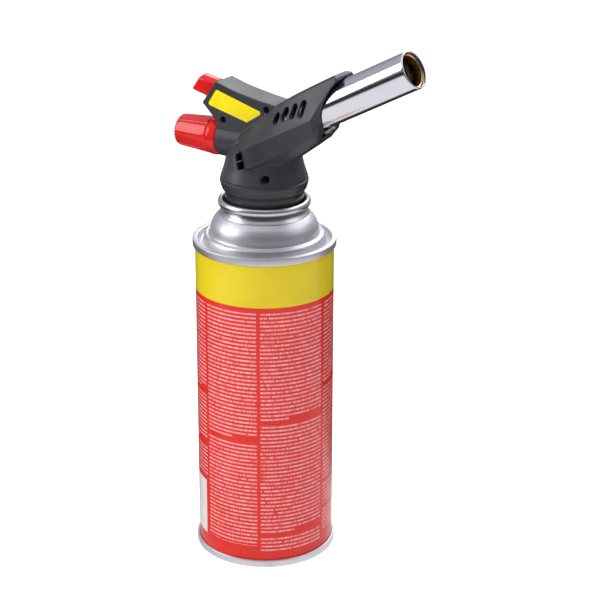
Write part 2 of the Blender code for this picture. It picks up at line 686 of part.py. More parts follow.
def make_gas_block():
    low = LEDGE_TOP + GAP
    flange_r = RING_INNER_R - GAP
    loop = [(flange_r, low), (flange_r, low + BLOCK_FLANGE_T)]
    loop += [(COLUMN_R, low + BLOCK_FLANGE_T), (COLUMN_R, COLUMN_TOP)]
    loop += [(0.0, COLUMN_TOP), (0.0, low)]
    block = lathe("gas_block", loop, upright(), (BRASS, 1.0, 0.4), SEGS_MEDIUM)
    side = [(0.0, SIDE_ARM_END), (SIDE_ARM_R, SIDE_ARM_END)]
    side += [(SIDE_ARM_R, SIDE_ARM_INNER), (0.0, SIDE_ARM_INNER)]
    fuse(block, lathe("side", side, spindle_frame(), None, SEGS_SMALL))
    out = [(0.0, OUTLET_START), (OUTLET_R, OUTLET_START)]
    out += [(OUTLET_R, OUTLET_END), (0.0, OUTLET_END)]
    fuse(block, lathe("outlet", out, tube_frame(), None, SEGS_SMALL))
    socket_r = NIPPLE_R + GAP
    hole = [(0.0, low - GAP), (socket_r, low - GAP), (socket_r, NIPPLE_TOP + GAP)]
    hole += [(GAS_BORE, NIPPLE_TOP + GAP), (GAS_BORE, SPINDLE_Z), (0.0, SPINDLE_Z)]
    cut(block, lathe("rise", hole, upright(), None, SEGS_SMALL))
    hole = [(0.0, SIDE_ARM_END - GAP), (SPINDLE_BORE, SIDE_ARM_END - GAP)]
    hole += [(SPINDLE_BORE, SPINDLE_INNER + GAP), (NEEDLE_R + GAP, SPINDLE_INNER + GAP)]
    hole += [(NEEDLE_R + GAP, NEEDLE_SEAT), (GAS_BORE * 0.9, NEEDLE_TIP + GAP)]
    hole += [(GAS_BORE * 0.9, CHAMBER_END), (0.0, CHAMBER_END)]
    cut(block, lathe("chamber", hole, spindle_frame(), None, SEGS_TINY))
    socket_r = NOZZLE_SHANK_R + GAP
    hole = [(0.0, FEED_START), (GAS_BORE, FEED_START), (GAS_BORE, NOZZLE_START - GAP)]
    hole += [(socket_r, NOZZLE_START - GAP), (socket_r, OUTLET_END + GAP), (0.0, OUTLET_END + GAP)]
    cut(block, lathe("feed", hole, tube_frame(), None, SEGS_TINY))
    tidy(block)

    tip_low = STEM_TOP + GAP
    loop = [(NIPPLE_TIP_R, tip_low), (NIPPLE_TIP_R, NIPPLE_SHOULDER), (NIPPLE_R, NIPPLE_SHOULDER)]
    loop += [(NIPPLE_R, NIPPLE_TOP), (FILTER_R + GAP, NIPPLE_TOP)]
    loop += [(FILTER_R + GAP, NIPPLE_TOP - FILTER_POCKET), (GAS_BORE, NIPPLE_TOP - FILTER_POCKET)]
    loop += [(GAS_BORE, tip_low)]
    lathe("inlet_nipple", loop, upright(), (BRASS, 1.0, 0.3), SEGS_SMALL)
    low_face = NIPPLE_TOP - FILTER_POCKET + GAP
    disc = [(0.0, low_face), (FILTER_R, low_face)]
    disc += [(FILTER_R, low_face + FILTER_T), (0.0, low_face + FILTER_T)]
    lathe("inlet_filter", disc, upright(), (BRASS, 1.0, 0.8), SEGS_TINY)
    hole_r = STEM_R + GAP
    ring = [(hole_r, CUP_TOP + GAP), (SEAL_R, CUP_TOP + GAP)]
    ring += [(SEAL_R, STEM_TOP), (hole_r, STEM_TOP)]
    lathe("inlet_seal", ring, upright(), (BLACK, 0.0, 0.8), SEGS_SMALL)

    bore = SPINDLE_R + GAP
    loop = [(bore, SIDE_ARM_END - GAP - NUT_T), (NUT_R, SIDE_ARM_END - GAP - NUT_T)]
    loop += [(NUT_R, SIDE_ARM_END - GAP), (SPINDLE_BORE - GAP, SIDE_ARM_END - GAP)]
    loop += [(SPINDLE_BORE - GAP, SIDE_ARM_END + NUT_SHANK), (bore, SIDE_ARM_END + NUT_SHANK)]
    nut = lathe("gland_nut", loop, spindle_frame(), (BRASS, 1.0, 0.3), SEGS_SMALL)
    keep = prism("hex", polygon(6, NUT_R), SIDE_ARM_END - 2.0 * NUT_T, 0.0, spindle_frame(), None)
    combine(nut, keep, "INTERSECT")
    tidy(nut)
    loop = []
    for index in range(ORING_SIDES):
        angle = TURN * index / ORING_SIDES
        spot = (ORING_R + ORING_WIRE * math.cos(angle), ORING_X + ORING_WIRE * math.sin(angle))
        loop.append(spot)
    lathe("spindle_seal", loop, spindle_frame(), (BLACK, 0.0, 0.8), SEGS_SMALL)

    hex_low = OUTLET_END + GAP
    hex_high = hex_low + NOZZLE_HEX_T
    loop = [(NOZZLE_BORE, NOZZLE_START), (NOZZLE_SHANK_R, NOZZLE_START)]
    loop += [(NOZZLE_SHANK_R, hex_low), (NOZZLE_HEX_R, hex_low), (NOZZLE_HEX_R, hex_high)]
    loop += [(NOZZLE_SHANK_R * 0.8, hex_high), (NOZZLE_BORE * 2.0, NOZZLE_TIP)]
    loop += [(NOZZLE_BORE, NOZZLE_TIP)]
    nozzle = lathe("jet_nozzle", loop, tube_frame(), (BRASS, 1.0, 0.25), SEGS_TINY)
    keep = prism("hex", polygon(6, NOZZLE_HEX_R), NOZZLE_START - GAP, NOZZLE_TIP + GAP,
                 tube_frame(), None)
    combine(nozzle, keep, "INTERSECT")
    tidy(nozzle)


def make_burner():
    inner = TUBE_R - TUBE_WALL
    loop = [(TUBE_R, TUBE_START), (TUBE_R, TUBE_END - TUBE_BEVEL)]
    loop += [(TUBE_R - TUBE_WALL * 0.25, TUBE_END - TUBE_BEVEL * 0.4)]
    loop += [(TUBE_R - TUBE_WALL * 0.7, TUBE_END), (inner, TUBE_END - TUBE_WALL * 0.3)]
    loop += [(inner, TUBE_START)]
    lathe("burner_tube", loop, tube_frame(), (TIN, 1.0, 0.15))

    hub = inner - GAP
    sleeve_in = OUTLET_R + GAP
    sleeve_out = sleeve_in + MIXER_SLEEVE_WALL
    throat_in = MIXER_THROAT_R - MIXER_THROAT_WALL
    hub_start = TUBE_START + MIXER_STEP
    loop = [(sleeve_out, MIXER_START), (sleeve_out, hub_start), (hub, hub_start)]
    loop += [(hub, MIXER_HUB_END), (MIXER_THROAT_R, MIXER_HUB_END + MIXER_TAPER)]
    loop += [(MIXER_THROAT_R, MIXER_THROAT_END), (throat_in, MIXER_THROAT_END)]
    loop += [(throat_in, MIXER_HUB_END), (sleeve_in, hub_start + MIXER_STEP)]
    loop += [(sleeve_in, MIXER_START)]
    mixer = lathe("mixer_tube", loop, tube_frame(), (BRASS, 1.0, 0.35), SEGS_MEDIUM)
    for index in range(MIXER_WINDOWS):
        turn = tube_frame() @ Matrix.Rotation(TURN * index / MIXER_WINDOWS, 4, "Z")
        near = sleeve_in - MIXER_STEP
        far = sleeve_out + MIXER_STEP
        box = [(near, -WINDOW_HALF), (far, -WINDOW_HALF), (far, WINDOW_HALF), (near, WINDOW_HALF)]
        cut(mixer, prism("window", box, WINDOW_START, WINDOW_END, turn, None))
    hole_r = ELECTRODE_R + GAP + INSULATOR_WALL + GAP
    low = WINDOW_END - MIXER_STEP
    high = MIXER_HUB_END + MIXER_TAPER + MIXER_STEP
    hole = [(0.0, low), (hole_r, low), (hole_r, high), (0.0, high)]
    off = tube_frame() @ Matrix.Translation(Vector((0.0, ELECTRODE_OFF, 0.0)))
    cut(mixer, lathe("lead_hole", hole, off, None, SEGS_TINY))
    tidy(mixer)

    lobes = []
    full = inner - GAP
    for index in range(HOLDER_LOBES * 4):
        angle = TURN * (index + 0.5) / (HOLDER_LOBES * 4)
        radius = full if index % 4 < 2 else full * HOLDER_WAIST
        lobes.append((radius * math.cos(angle), radius * math.sin(angle)))
    holder = prism("flame_holder", lobes, HOLDER_START, HOLDER_END, tube_frame(),
                   (BLACK, 1.0, 0.5))
    low = HOLDER_START - GAP
    high = HOLDER_END + GAP
    port = full * HOLDER_PORT
    hole = [(0.0, low), (port, low), (port, high), (0.0, high)]
    cut(holder, lathe("port", hole, tube_frame(), None, SEGS_TINY))
    tidy(holder, False)

    loop = [(full, MOUTH_RING_START), (full, MOUTH_RING_END)]
    loop += [(full - MOUTH_RING_WALL, MOUTH_RING_END - MOUTH_RING_LEAN)]
    loop += [(full - MOUTH_RING_WALL, MOUTH_RING_START)]
    lathe("mouth_ring", loop, tube_frame(), (BRASS, 1.0, 0.3), SEGS_MEDIUM)

    wire_hole = ELECTRODE_R + GAP
    outer = wire_hole + INSULATOR_WALL
    loop = [(outer, INSULATOR_START), (outer, INSULATOR_END)]
    loop += [(wire_hole, INSULATOR_END), (wire_hole, INSULATOR_START)]
    lathe("electrode_sleeve", loop, off, (CERAMIC, 0.0, 0.4), INSULATOR_SIDES)
    tail = INSULATOR_START - ELECTRODE_TAIL
    loop = [(0.0, tail), (ELECTRODE_R, tail), (ELECTRODE_R, ELECTRODE_TIP), (0.0, ELECTRODE_TIP)]
    lathe("electrode", loop, off, (TIN, 1.0, 0.3), ELECTRODE_SIDES)


def make_clamp():
    near = TUBE_R + GAP
    far = near + CLAMP_T
    spots = [(CLAMP_FROM, -far), (CLAMP_TO, -far), (CLAMP_TO, -near), (CLAMP_FROM, -near)]
    plate = prism("tube_clamp", spots, -CLAMP_HALF, CLAMP_HALF, tube_side_view(),
                  (TIN, 1.0, 0.25))
    across = tube_frame() @ Matrix.Translation(Vector((0.0, 0.0, CLAMP_SCREW_AT)))
    across = across @ Matrix.Rotation(math.pi / 2.0, 4, "Y")
    low = near - CLAMP_T
    high = far + GAP
    hole = [(0.0, low), (CLAMP_HOLE_R, low), (CLAMP_HOLE_R, high), (0.0, high)]
    cut(plate, lathe("hole", hole, across, None, SEGS_TINY))
    tidy(plate, False)
    loop = [(0.0, high - CLAMP_SHANK), (CLAMP_SHANK_R, high - CLAMP_SHANK), (CLAMP_SHANK_R, high)]
    loop += [(CLAMP_HEAD_R, high), (CLAMP_HEAD_FACE_R, high + CLAMP_HEAD_EDGE)]
    loop += [(0.0, high + CLAMP_HEAD_T)]
    lathe("clamp_screw", loop, across, (TIN, 1.0, 0.2), SEGS_TINY)


# ---------------------------------------------------------------------------
# housing shells
# ---------------------------------------------------------------------------
NECK = raised((20.9, 16.2), (20.7, 17.1), (20.3, 17.4), (20.4, 17.8), (18.9, 22.9), (18.1, 26.1))
NECK += raised((17.6, 28.3), (16.2, 30.9), (13.0, 33.8), (7.5, 35.7), (0.0, 36.2))
BOX_TOP = raised((-22.4, 60.9), (-13.4, 58.2), (-5.0, 56.4), (3.4, 54.9), (12.0, 53.7))
BOX_LOW = raised((14.0, 44.8), (5.0, 32.8), (-22.1, 32.8), (-22.1, 41.2))
BOX_BACK = raised((-24.3, 44.4), (-26.7, 46.8), (-29.9, 49.9))
BOX_HOLLOW = raised((12.0, 42.8), (4.0, 31.8), (-12.0, 31.8), (-20.4, 39.4), (-22.9, 44.8))
BOX_HOLLOW += raised((-27.2, 49.2), (-20.6, 58.3))
RIM = mm((50.0, 12.7), (52.4, 11.6), (53.5, 10.7), (53.3, 9.8), (52.2, 9.3), (50.0, 8.9))
RIM += mm((47.4, 7.8), (44.5, 4.6), (40.8, -0.6), (38.3, -4.4), (36.2, -7.8), (34.0, -10.2))
RIM += mm((31.4, -12.2), (28.5, -15.5))
RIM_FRONT = mm((70.0, -14.5), (70.0, 13.5))
NOSE_BAY = mm((27.0, -3.0), (27.0, -11.3), (45.0, -11.3), (45.0, -3.0))
INTAKES = [mm((-8.2, -2.9), (0.2, -2.9), (0.2, -6.1), (-8.2, -6.1))]
INTAKES += [mm((-8.2, -6.9), (0.2, -6.9), (0.2, -10.3), (-8.2, -10.3))]
VENTS = mm((17.7, 4.6), (22.8, 4.8), (27.8, 4.3), (32.6, 3.8))
VENT_LENGTHS = [5.0 * MM, 6.0 * MM, 6.8 * MM, 7.4 * MM]
LABEL = raised((-22.7, 57.45), (5.2, 50.3), (-2.0, 43.4), (-27.8, 50.05))
BOX_POST_REACH = BOX_HALF - SHELL / 2.0
# (name, (x, height), head seat, half length of the post, size over the small screw)
SCREWS = [("housing_screw_rear", (-18.2, 43.1), BOX_SEAT, BOX_POST_REACH, 1.0)]
SCREWS += [("housing_screw_front", (5.7, 51.3), BOX_SEAT, BOX_POST_REACH, 1.0)]
SCREWS += [("housing_screw_neck", (10.6, 21.0), NECK_SEAT, NECK_POST_REACH, NECK_SCREW_SCALE)]

# arm sections: (station, height, half width) from the top edge to the keel
ARM = [
    [(-9, 5.6, 4.5), (-8.5, 5.2, 6.6), (-6, -1, 14.5), (-8.6, -10.6, 15.6), (-8, -15, 8)],
    [(-3, 6.6, 4.8), (-3, 6, 6.9), (0.6, -2.1, 20.4), (-1.5, -11.1, 20.2), (-2, -16.4, 11)],
    [(10, 9, 5), (10, 8.2, 6.9), (11, -2.2, 17.9), (10.5, -10.8, 16.9), (10, -15.8, 8.5)],
    [(21.6, 10.7, 5), (21.6, 9.9, 6.8), (21.6, -2.4, 15.6), (21.6, -10.4, 14), (21.6, -14.3, 6.5)],
    [(35, 11.5, 5), (35, 10.6, 6.9), (35, -2.6, 13.4), (35, -9.7, 11.2), (35, -12.5, 5.5)],
    [(62, 12.1, 5), (62, 11.2, 6.9), (62, -2.6, 12.2), (62, -9.6, 10), (62, -12, 5.5)],
]
HOLLOW_REAR = -6.0
HOLLOW_WAIST = 6.0
HOLLOW_END = 33.0


def arm_point(station, height, width):
    side = tube_frame()
    return side @ Vector((-height, width, station))


def arm_ring(section, inset):
    """A ring round the arm, drawn in by inset at its top, keel and sides."""
    half = []
    for order, (station, height, width) in enumerate(section):
        drop = 0.0
        if order < 2:
            drop = inset
        if order > 2:
            drop = -inset * 0.8
        half.append((station * MM, height * MM - drop, width * MM - inset * 1.15))
    ring = [arm_point(s, h, w) for s, h, w in half]
    ring += [arm_point(s, h, -w) for s, h, w in reversed(half)]
    return ring


def arm_at(station):
    """The arm section at a station between two of the listed ones."""
    for before, after in zip(ARM, ARM[1:]):
        low = before[0][0]
        high = after[0][0]
        if low <= station <= high:
            part = (station - low) / (high - low)
            blend = []
            for one, two in zip(before, after):
                blend.append(tuple(a + (b - a) * part for a, b in zip(one, two)))
            return blend
    return ARM[-1]


def shell_solid():
    lip = [(0.0, BELL_LIP_Z)]
    lip += [(radius * MM, BELL_LIP_Z + rise * MM) for radius, rise in BELL_LIP]
    solid = lathe("shell", lip + NECK, upright(), None, SEGS_HOUSING)
    fuse(solid, bridged("arm", [arm_ring(section, 0.0) for section in ARM], None))
    outline = BOX_TOP + BOX_LOW + BOX_BACK
    fuse(solid, prism("box", outline, -BOX_HALF, BOX_HALF, side_view(), None))
    boss = [(0.0, BOSS_END), (BOSS_R - SEAM_EDGE, BOSS_END), (BOSS_R, BOSS_END + SEAM_EDGE)]
    boss += [(BOSS_R, BOSS_INNER), (0.0, BOSS_INNER)]
    fuse(solid, lathe("boss", boss, spindle_frame(), None, SEGS_HOUSING))
    return solid


def hollow_shell(solid):
    ring_hole = RING_R + GAP
    loop = [(0.0, BELL_LIP_Z - SHELL), (ring_hole, BELL_LIP_Z - SHELL)]
    loop += [(ring_hole, BELL_INSIDE_Z), (RING_R - SHELL, BELL_INSIDE_Z + BELL_STEP)]
    for radius, height in NECK[3:-1]:
        loop.append((radius - SHELL, height - BELL_INSIDE_DROP))
    loop.append((0.0, NECK[-1][1] - SHELL))
    cut(solid, lathe("neck_hollow", loop, upright(), None, SEGS_HOUSING))
    rear = []
    for spot in arm_ring(arm_at(HOLLOW_REAR), ARM_REAR_INSET):
        rear.append(Vector((spot.x, max(min(spot.y, ARM_REAR_HALF), -ARM_REAR_HALF), spot.z)))
    inner = [rear, arm_ring(arm_at(HOLLOW_WAIST), ARM_REAR_INSET)]
    inner += [arm_ring(ARM[3], ARM_INSET), arm_ring(arm_at(HOLLOW_END), ARM_INSET)]
    cut(solid, bridged("arm_hollow", inner, None))
    outline = [(x, z - SHELL) for x, z in BOX_TOP[1:]] + BOX_HOLLOW
    half = BOX_HALF - SHELL
    cut(solid, prism("box_hollow", outline, -half, half, side_view(), None))
    start = BOSS_END - BELL_STEP
    bore = [(0.0, start), (BOSS_BORE, start), (BOSS_BORE, BOSS_BORE_INNER), (0.0, BOSS_BORE_INNER)]
    cut(solid, lathe("boss_bore", bore, spindle_frame(), None, SEGS_SMALL))
    tube_hole = TUBE_R + SHROUD_GAP
    loop = [(0.0, TUBE_BORE_FROM), (tube_hole, TUBE_BORE_FROM)]
    loop += [(tube_hole, TUBE_BORE_TO), (0.0, TUBE_BORE_TO)]
    cut(solid, lathe("tube_bore", loop, tube_frame(), None, SEGS_HOUSING))
    cut(solid, prism("nose_bay", NOSE_BAY, -NOSE_BAY_HALF, NOSE_BAY_HALF, tube_side_view(), None))


def open_shell(solid):
    wide = SIDE_REACH
    cut(solid, prism("mouth", RIM + RIM_FRONT, -wide, wide, tube_side_view(), None))
    for (station, height), length in zip(VENTS, VENT_LENGTHS):
        outline = []
        half = length / 2.0 - VENT_HALF
        for index in range(VENT_STEPS):
            angle = TURN * (index + 0.5) / VENT_STEPS
            rise = half if math.sin(angle) > 0.0 else -half
            x = VENT_HALF * math.cos(angle)
            z = VENT_HALF * math.sin(angle) + rise
            turned = Matrix.Rotation(-VENT_LEAN - TUBE_TILT, 2) @ Vector((x, z))
            outline.append((station + turned.x, height + turned.y))
        for low, high in ((SIDE_INNER, wide), (-wide, -SIDE_INNER)):
            cut(solid, prism("vent", outline, low, high, tube_side_view(), None))
    for bay in INTAKES:
        for low, high in ((INTAKE_INNER, INTAKE_OUTER), (-INTAKE_OUTER, -INTAKE_INNER)):
            cut(solid, prism("intake", bay, low, high, tube_side_view(), None))
    button = button_outline(BUTTON_CLEAR)
    cut(solid, prism("button_hole", button, BUTTON_HOLE_OUT, BUTTON_IN + BUTTON_TRAVEL + GAP,
                     igniter_frame(), None))
    outline = rounded(LABEL, LABEL_CORNER, -GAP)
    floor = BOX_HALF - LABEL_RECESS
    clear = BOX_HALF + LABEL_RECESS
    for low, high in ((floor, clear), (-clear, -floor)):
        cut(solid, prism("label_bed", outline, low, high, side_view(), None))


def screw_place(spot):
    x, z = raised(spot)[0]
    return side_view() @ Matrix.Translation(Vector((x, z, 0.0)))


def add_posts(solid):
    for name, spot, seat, reach, scale in SCREWS:
        place = screw_place(spot)
        fuse(solid, prism("post", polygon(POST_SIDES, POST_R), -reach, reach, place, None))
        shank = SCREW_R * scale + GAP
        head = SCREW_HEAD_R * scale + GAP
        tail = -seat * SCREW_TAIL
        hole = [(0.0, tail), (shank, tail), (shank, seat), (head, seat)]
        hole += [(head, SIDE_REACH), (0.0, SIDE_REACH)]
        cut(solid, lathe("screw_hole", hole, place, None, SEGS_TINY))


def make_screws():
    for name, spot, seat, reach, scale in SCREWS:
        shank = SCREW_R * scale
        head = SCREW_HEAD_R * scale
        tail = GAP - seat * SCREW_TAIL
        base = seat + GAP
        top = base + SCREW_HEAD_T * scale
        loop = [(0.0, tail), (shank, tail), (shank, base), (head, base)]
        loop += [(head, top - SCREW_EDGE), (head * 0.8, top), (0.0, top)]
        lathe(name, loop, screw_place(spot), (TIN, 1.0, 0.35), SEGS_TINY)


def rounded(corners, radius, grow=0.0):
    """An outline with round corners, first moved inward by grow."""
    spots = []
    count = len(corners)
    centre = sum((Vector(c) for c in corners), Vector((0.0, 0.0))) / count
    for index in range(count):
        here = Vector(corners[index])
        before = (Vector(corners[index - 1]) - here).normalized()
        after = (Vector(corners[(index + 1) % count]) - here).normalized()
        half = before.angle(after) / 2.0
        bisect = (before + after).normalized()
        hub = here + bisect * (radius / math.sin(half))
        start = -Vector((before.y, -before.x))
        if start.dot(bisect) > 0.0:
            start = -start
        stop = Vector((after.y, -after.x))
        if stop.dot(bisect) > 0.0:
            stop = -stop
        for step in range(4):
            way = (start * (3 - step) + stop * step).normalized()
            spots.append(tuple(hub + way * (radius - grow)))
    return spots


def button_outline(grow):
    half = BUTTON_HALF_W + grow
    side = BUTTON_SIDE + grow
    peak = BUTTON_PEAK + grow
    flat = half * BUTTON_FACET
    return [(-side, -half), (-peak, -flat), (-peak, flat), (-side, half),
            (side, half), (peak, flat), (peak, -flat), (side, -half)]


def make_housing():
    solid = shell_solid()
    hollow_shell(solid)
    add_posts(solid)
    open_shell(solid)
    bm = bmesh.new()
    bm.from_mesh(solid.data)
    bpy.data.objects.remove(solid, do_unlink=True)
    for name, sign in (("housing_near", -1.0), ("housing_far", 1.0)):
        half = finish(name, bm.copy(), (GREY, 0.0, 0.5))
        box = [(-KEEP, 0.0), (KEEP, 0.0), (KEEP, KEEP), (-KEEP, KEEP)]
        side = sorted((sign * -GAP / 2.0, sign * -KEEP))
        tool = prism("keep", box, side[0], side[1], side_view(), None)
        combine(half, tool, "INTERSECT")
        tidy(half)
    bm.free()
    outline = rounded(LABEL, LABEL_CORNER)
    inner = BOX_HALF + GAP - LABEL_RECESS
    outer = inner + LABEL_T
    prism("label_near", outline, inner, outer, side_view(), (YELLOW, 0.0, 0.4))
    prism("label_far", outline, -outer, -inner, side_view(), (YELLOW, 0.0, 0.4))


# ---------------------------------------------------------------------------
# knob, needle and igniter
# ---------------------------------------------------------------------------
def make_knob():
    bm = bmesh.new()
    bore = SPINDLE_NECK_R + GAP
    foot = BOSS_END - GAP
    rings = [(KNOB_TIP_R - KNOB_EDGE, KNOB_TIP, 0.0), (KNOB_TIP_R, KNOB_TIP + KNOB_EDGE, 1.0)]
    rings += [(KNOB_WIDE_R - KNOB_SHOULDER_DROP, KNOB_WIDE - KNOB_SHOULDER, 1.0)]
    rings += [(KNOB_WIDE_R, KNOB_WIDE, 0.0)]
    rings += [(KNOB_FOOT_R, foot, 0.0), (bore, foot, 0.0), (bore, SPINDLE_OUTER - GAP, 0.0)]
    steps = KNOB_FLUTES * KNOB_FLUTE_STEPS
    made = []
    for radius, height, share in rings:
        ring = []
        for step in range(steps):
            angle = TURN * step / steps
            dip = KNOB_FLUTE_DEPTH * share if step % KNOB_FLUTE_STEPS == 0 else 0.0
            reach = radius - dip
            spot = Vector((reach * math.cos(angle), reach * math.sin(angle), height))
            ring.append(bm.verts.new(spindle_frame() @ spot))
        made.append(ring)
    for ring, other in zip(made, made[1:]):
        for step in range(steps):
            after = (step + 1) % steps
            bm.faces.new([ring[step], ring[after], other[after], other[step]])
    bm.faces.new(made[0])
    bm.faces.new(made[-1])
    knob = finish("knob", bm, (RED, 0.0, 0.25))
    pivot(knob, Vector((CAN_X + KNOB_WIDE, 0.0, SPINDLE_Z)))

    tail_bore = NEEDLE_R + GAP
    depth = NEEDLE_TAIL - NEEDLE_POCKET
    loop = [(tail_bore, SPINDLE_INNER), (SPINDLE_R, SPINDLE_INNER)]
    loop += [(SPINDLE_R, BOSS_END), (SPINDLE_NECK_R, BOSS_END), (SPINDLE_NECK_R, SPINDLE_OUTER)]
    loop += [(0.0, SPINDLE_OUTER), (0.0, depth), (tail_bore, depth)]
    spindle = lathe("valve_spindle", loop, spindle_frame(), (BRASS, 1.0, 0.3), SEGS_SMALL)
    pivot(spindle, Vector((CAN_X + SPINDLE_INNER, 0.0, SPINDLE_Z)))

    loop = [(0.0, NEEDLE_TAIL), (NEEDLE_R, NEEDLE_TAIL), (NEEDLE_R, NEEDLE_TIP - NEEDLE_TAPER)]
    loop += [(NEEDLE_TIP_R, NEEDLE_TIP), (0.0, NEEDLE_TIP)]
    needle = lathe("needle", loop, spindle_frame(), (TIN, 1.0, 0.2), SEGS_TINY)
    pivot(needle, Vector((CAN_X + NEEDLE_TAIL, 0.0, SPINDLE_Z)))


# (station, height, y) on the burner axis, and (x, y, height) beside the can's axis
SPARK_ROUTE = [(5.6, 11.2, 3.2), (8.0, 9.0, 3.6), (10.5, 6.6, 4.7), (12.5, 5.2, 6.2), (14.5, 2.6, 7.7)]
EARTH_ROUTE = [(-9.6, 3.0, 47.7), (-9.0, 3.0, 45.3), (-8.0, 2.4, 42.2), (-7.6, 1.6, 40.2)]


def make_igniter():
    place = igniter_frame()
    lean = math.tan(REAR_LEAN - IGNITER_TILT)
    bm = prism_mesh(button_outline(0.0), -BUTTON_OUT, BUTTON_IN, place)
    back = place.inverted()
    for vert in bm.verts:
        local = back @ vert.co
        if local.z < -BUTTON_OUT * 0.9:
            tip = local.z - local.x * lean
            vert.co = place @ Vector((local.x * BUTTON_FACE, local.y * BUTTON_FACE, tip))
    button = finish("igniter_button", bm, (RED, 0.0, 0.25), False)
    neck = [(0.0, BUTTON_IN - BUTTON_NECK_LAP), (BUTTON_NECK_R, BUTTON_IN - BUTTON_NECK_LAP)]
    neck += [(BUTTON_NECK_R, BUTTON_NECK_END), (0.0, BUTTON_NECK_END)]
    fuse(button, lathe("neck", neck, place, None, SEGS_TINY))
    tidy(button)
    heart = place @ Vector((0.0, 0.0, 0.0))
    pivot(button, heart)

    start = BUTTON_NECK_END + GAP
    loop = [(0.0, start), (PLUNGER_R, start), (PLUNGER_R, PLUNGER_END), (0.0, PLUNGER_END)]
    plunger = lathe("piezo_plunger", loop, place, (TIN, 1.0, 0.4), SEGS_TINY)
    pivot(plunger, heart)

    outline = [(-PIEZO_HALF_H, -PIEZO_HALF_W), (PIEZO_HALF_H, -PIEZO_HALF_W)]
    outline += [(PIEZO_HALF_H, PIEZO_HALF_W), (-PIEZO_HALF_H, PIEZO_HALF_W)]
    body = prism("piezo_body", outline, PIEZO_START, PIEZO_END, place, (BLACK, 0.0, 0.5))
    well = PLUNGER_END + BUTTON_TRAVEL + GAP
    hole_r = PLUNGER_R + GAP
    hole = [(0.0, PIEZO_START - GAP), (hole_r, PIEZO_START - GAP), (hole_r, well), (0.0, well)]
    cut(body, lathe("well", hole, place, None, SEGS_TINY))
    tidy(body, False)

    low = BUTTON_IN + GAP + SPRING_WIRE / 2.0
    high = PIEZO_START - GAP - SPRING_WIRE / 2.0
    spring_r = BUTTON_NECK_R + GAP + SPRING_WIRE / 2.0
    coil("igniter_spring", place, spring_r, low, high, IGNITER_SPRING_TURNS, (TIN, 1.0, 0.3))


def make_leads():
    path = [arm_point(s * MM, h * MM, y * MM) for s, h, y in SPARK_ROUTE]
    path.append(arm_point(INSULATOR_START - ELECTRODE_TAIL - GAP, 0.0, ELECTRODE_OFF))
    swept("ignition_lead", path, LEAD_R, (BLACK, 0.0, 0.6), LEAD_SIDES)
    path = [Vector((CAN_X + x * MM, y * MM, DOME_TOP + z * MM)) for x, y, z in EARTH_ROUTE]
    swept("earth_lead", path, LEAD_R, (BLACK, 0.0, 0.6), LEAD_SIDES)


clear_scene()
make_can()
make_collar()
make_can_valve()
make_base_ring()
make_gas_block()
make_burner()
make_clamp()
make_housing()
make_screws()
make_knob()
make_igniter()
make_leads()
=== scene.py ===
"""Looks of the butane torch: the printed cartridge, the moulded head, the flame tube."""
import math

import bmesh
import bpy
from mathutils import Matrix, Vector


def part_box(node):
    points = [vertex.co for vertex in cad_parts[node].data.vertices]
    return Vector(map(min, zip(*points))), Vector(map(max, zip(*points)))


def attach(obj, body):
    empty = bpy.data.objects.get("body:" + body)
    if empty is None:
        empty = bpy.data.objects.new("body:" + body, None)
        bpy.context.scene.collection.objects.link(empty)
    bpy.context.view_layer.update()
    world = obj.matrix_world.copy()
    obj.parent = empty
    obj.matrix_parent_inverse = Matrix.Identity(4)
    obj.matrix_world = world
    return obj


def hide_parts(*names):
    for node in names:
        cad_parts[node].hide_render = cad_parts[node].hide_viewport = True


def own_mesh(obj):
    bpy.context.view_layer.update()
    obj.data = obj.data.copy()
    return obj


MM = 0.001
FULL = 2.0 * math.pi

# the axes: the flame tube rises, the igniter dips to the rear, and the knob lies level
TILT = math.radians(28.0)
IGNITER_TILT = math.radians(13.0)
REAR_LEAN = math.radians(34.2)
TUBE_Z = 208.1 * MM
SPINDLE_Z = 204.1 * MM

# sizes in millimetres that more than one piece uses
GAP = 0.3
CAN_RADIUS = 33.0
SEAM_MIDDLE = 33.65
SEAM_ROUND = 0.5
TUBE_RADIUS = 8.85
SCREW_SHANK = 0.8
SCREW_HEAD = 1.25

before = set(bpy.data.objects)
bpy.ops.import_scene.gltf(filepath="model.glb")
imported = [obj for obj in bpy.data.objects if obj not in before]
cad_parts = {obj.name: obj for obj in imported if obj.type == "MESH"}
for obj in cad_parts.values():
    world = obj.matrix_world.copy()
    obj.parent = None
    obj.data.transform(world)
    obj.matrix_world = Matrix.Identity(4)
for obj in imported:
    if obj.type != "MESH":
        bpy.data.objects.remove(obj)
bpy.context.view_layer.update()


def middle(node):
    low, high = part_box(node)
    return (Vector(low) + Vector(high)) / 2.0


CAN_X = middle("can_body").x


# ------------------------ placing
def on_can():
    return Matrix.Translation((CAN_X, 0.0, 0.0))


def on_tube():
    turn = Matrix.Rotation(math.pi / 2.0 - TILT, 4, "Y")
    return Matrix.Translation((CAN_X, 0.0, TUBE_Z)) @ turn


def on_spindle():
    turn = Matrix.Rotation(math.pi / 2.0, 4, "Y")
    return Matrix.Translation((CAN_X, 0.0, SPINDLE_Z)) @ turn


def on_igniter():
    turn = Matrix.Rotation(math.pi / 2.0 + IGNITER_TILT, 4, "Y")
    return Matrix.Translation((CAN_X - 26.1 * MM, 0.0, 226.8 * MM)) @ turn


def side_on():
    """Side outlines as (x, z); their depth grows towards the near side."""
    return on_can() @ Matrix.Rotation(math.pi / 2.0, 4, "X")


def side_on_tube():
    """Side outlines as (station along the tube, height over its axis)."""
    return side_on() @ Matrix.Translation((0.0, TUBE_Z, 0.0)) @ Matrix.Rotation(TILT, 4, "Z")


# ------------------------ shapes
def scaled(pairs):
    return [(a * MM, b * MM) for a, b in pairs]


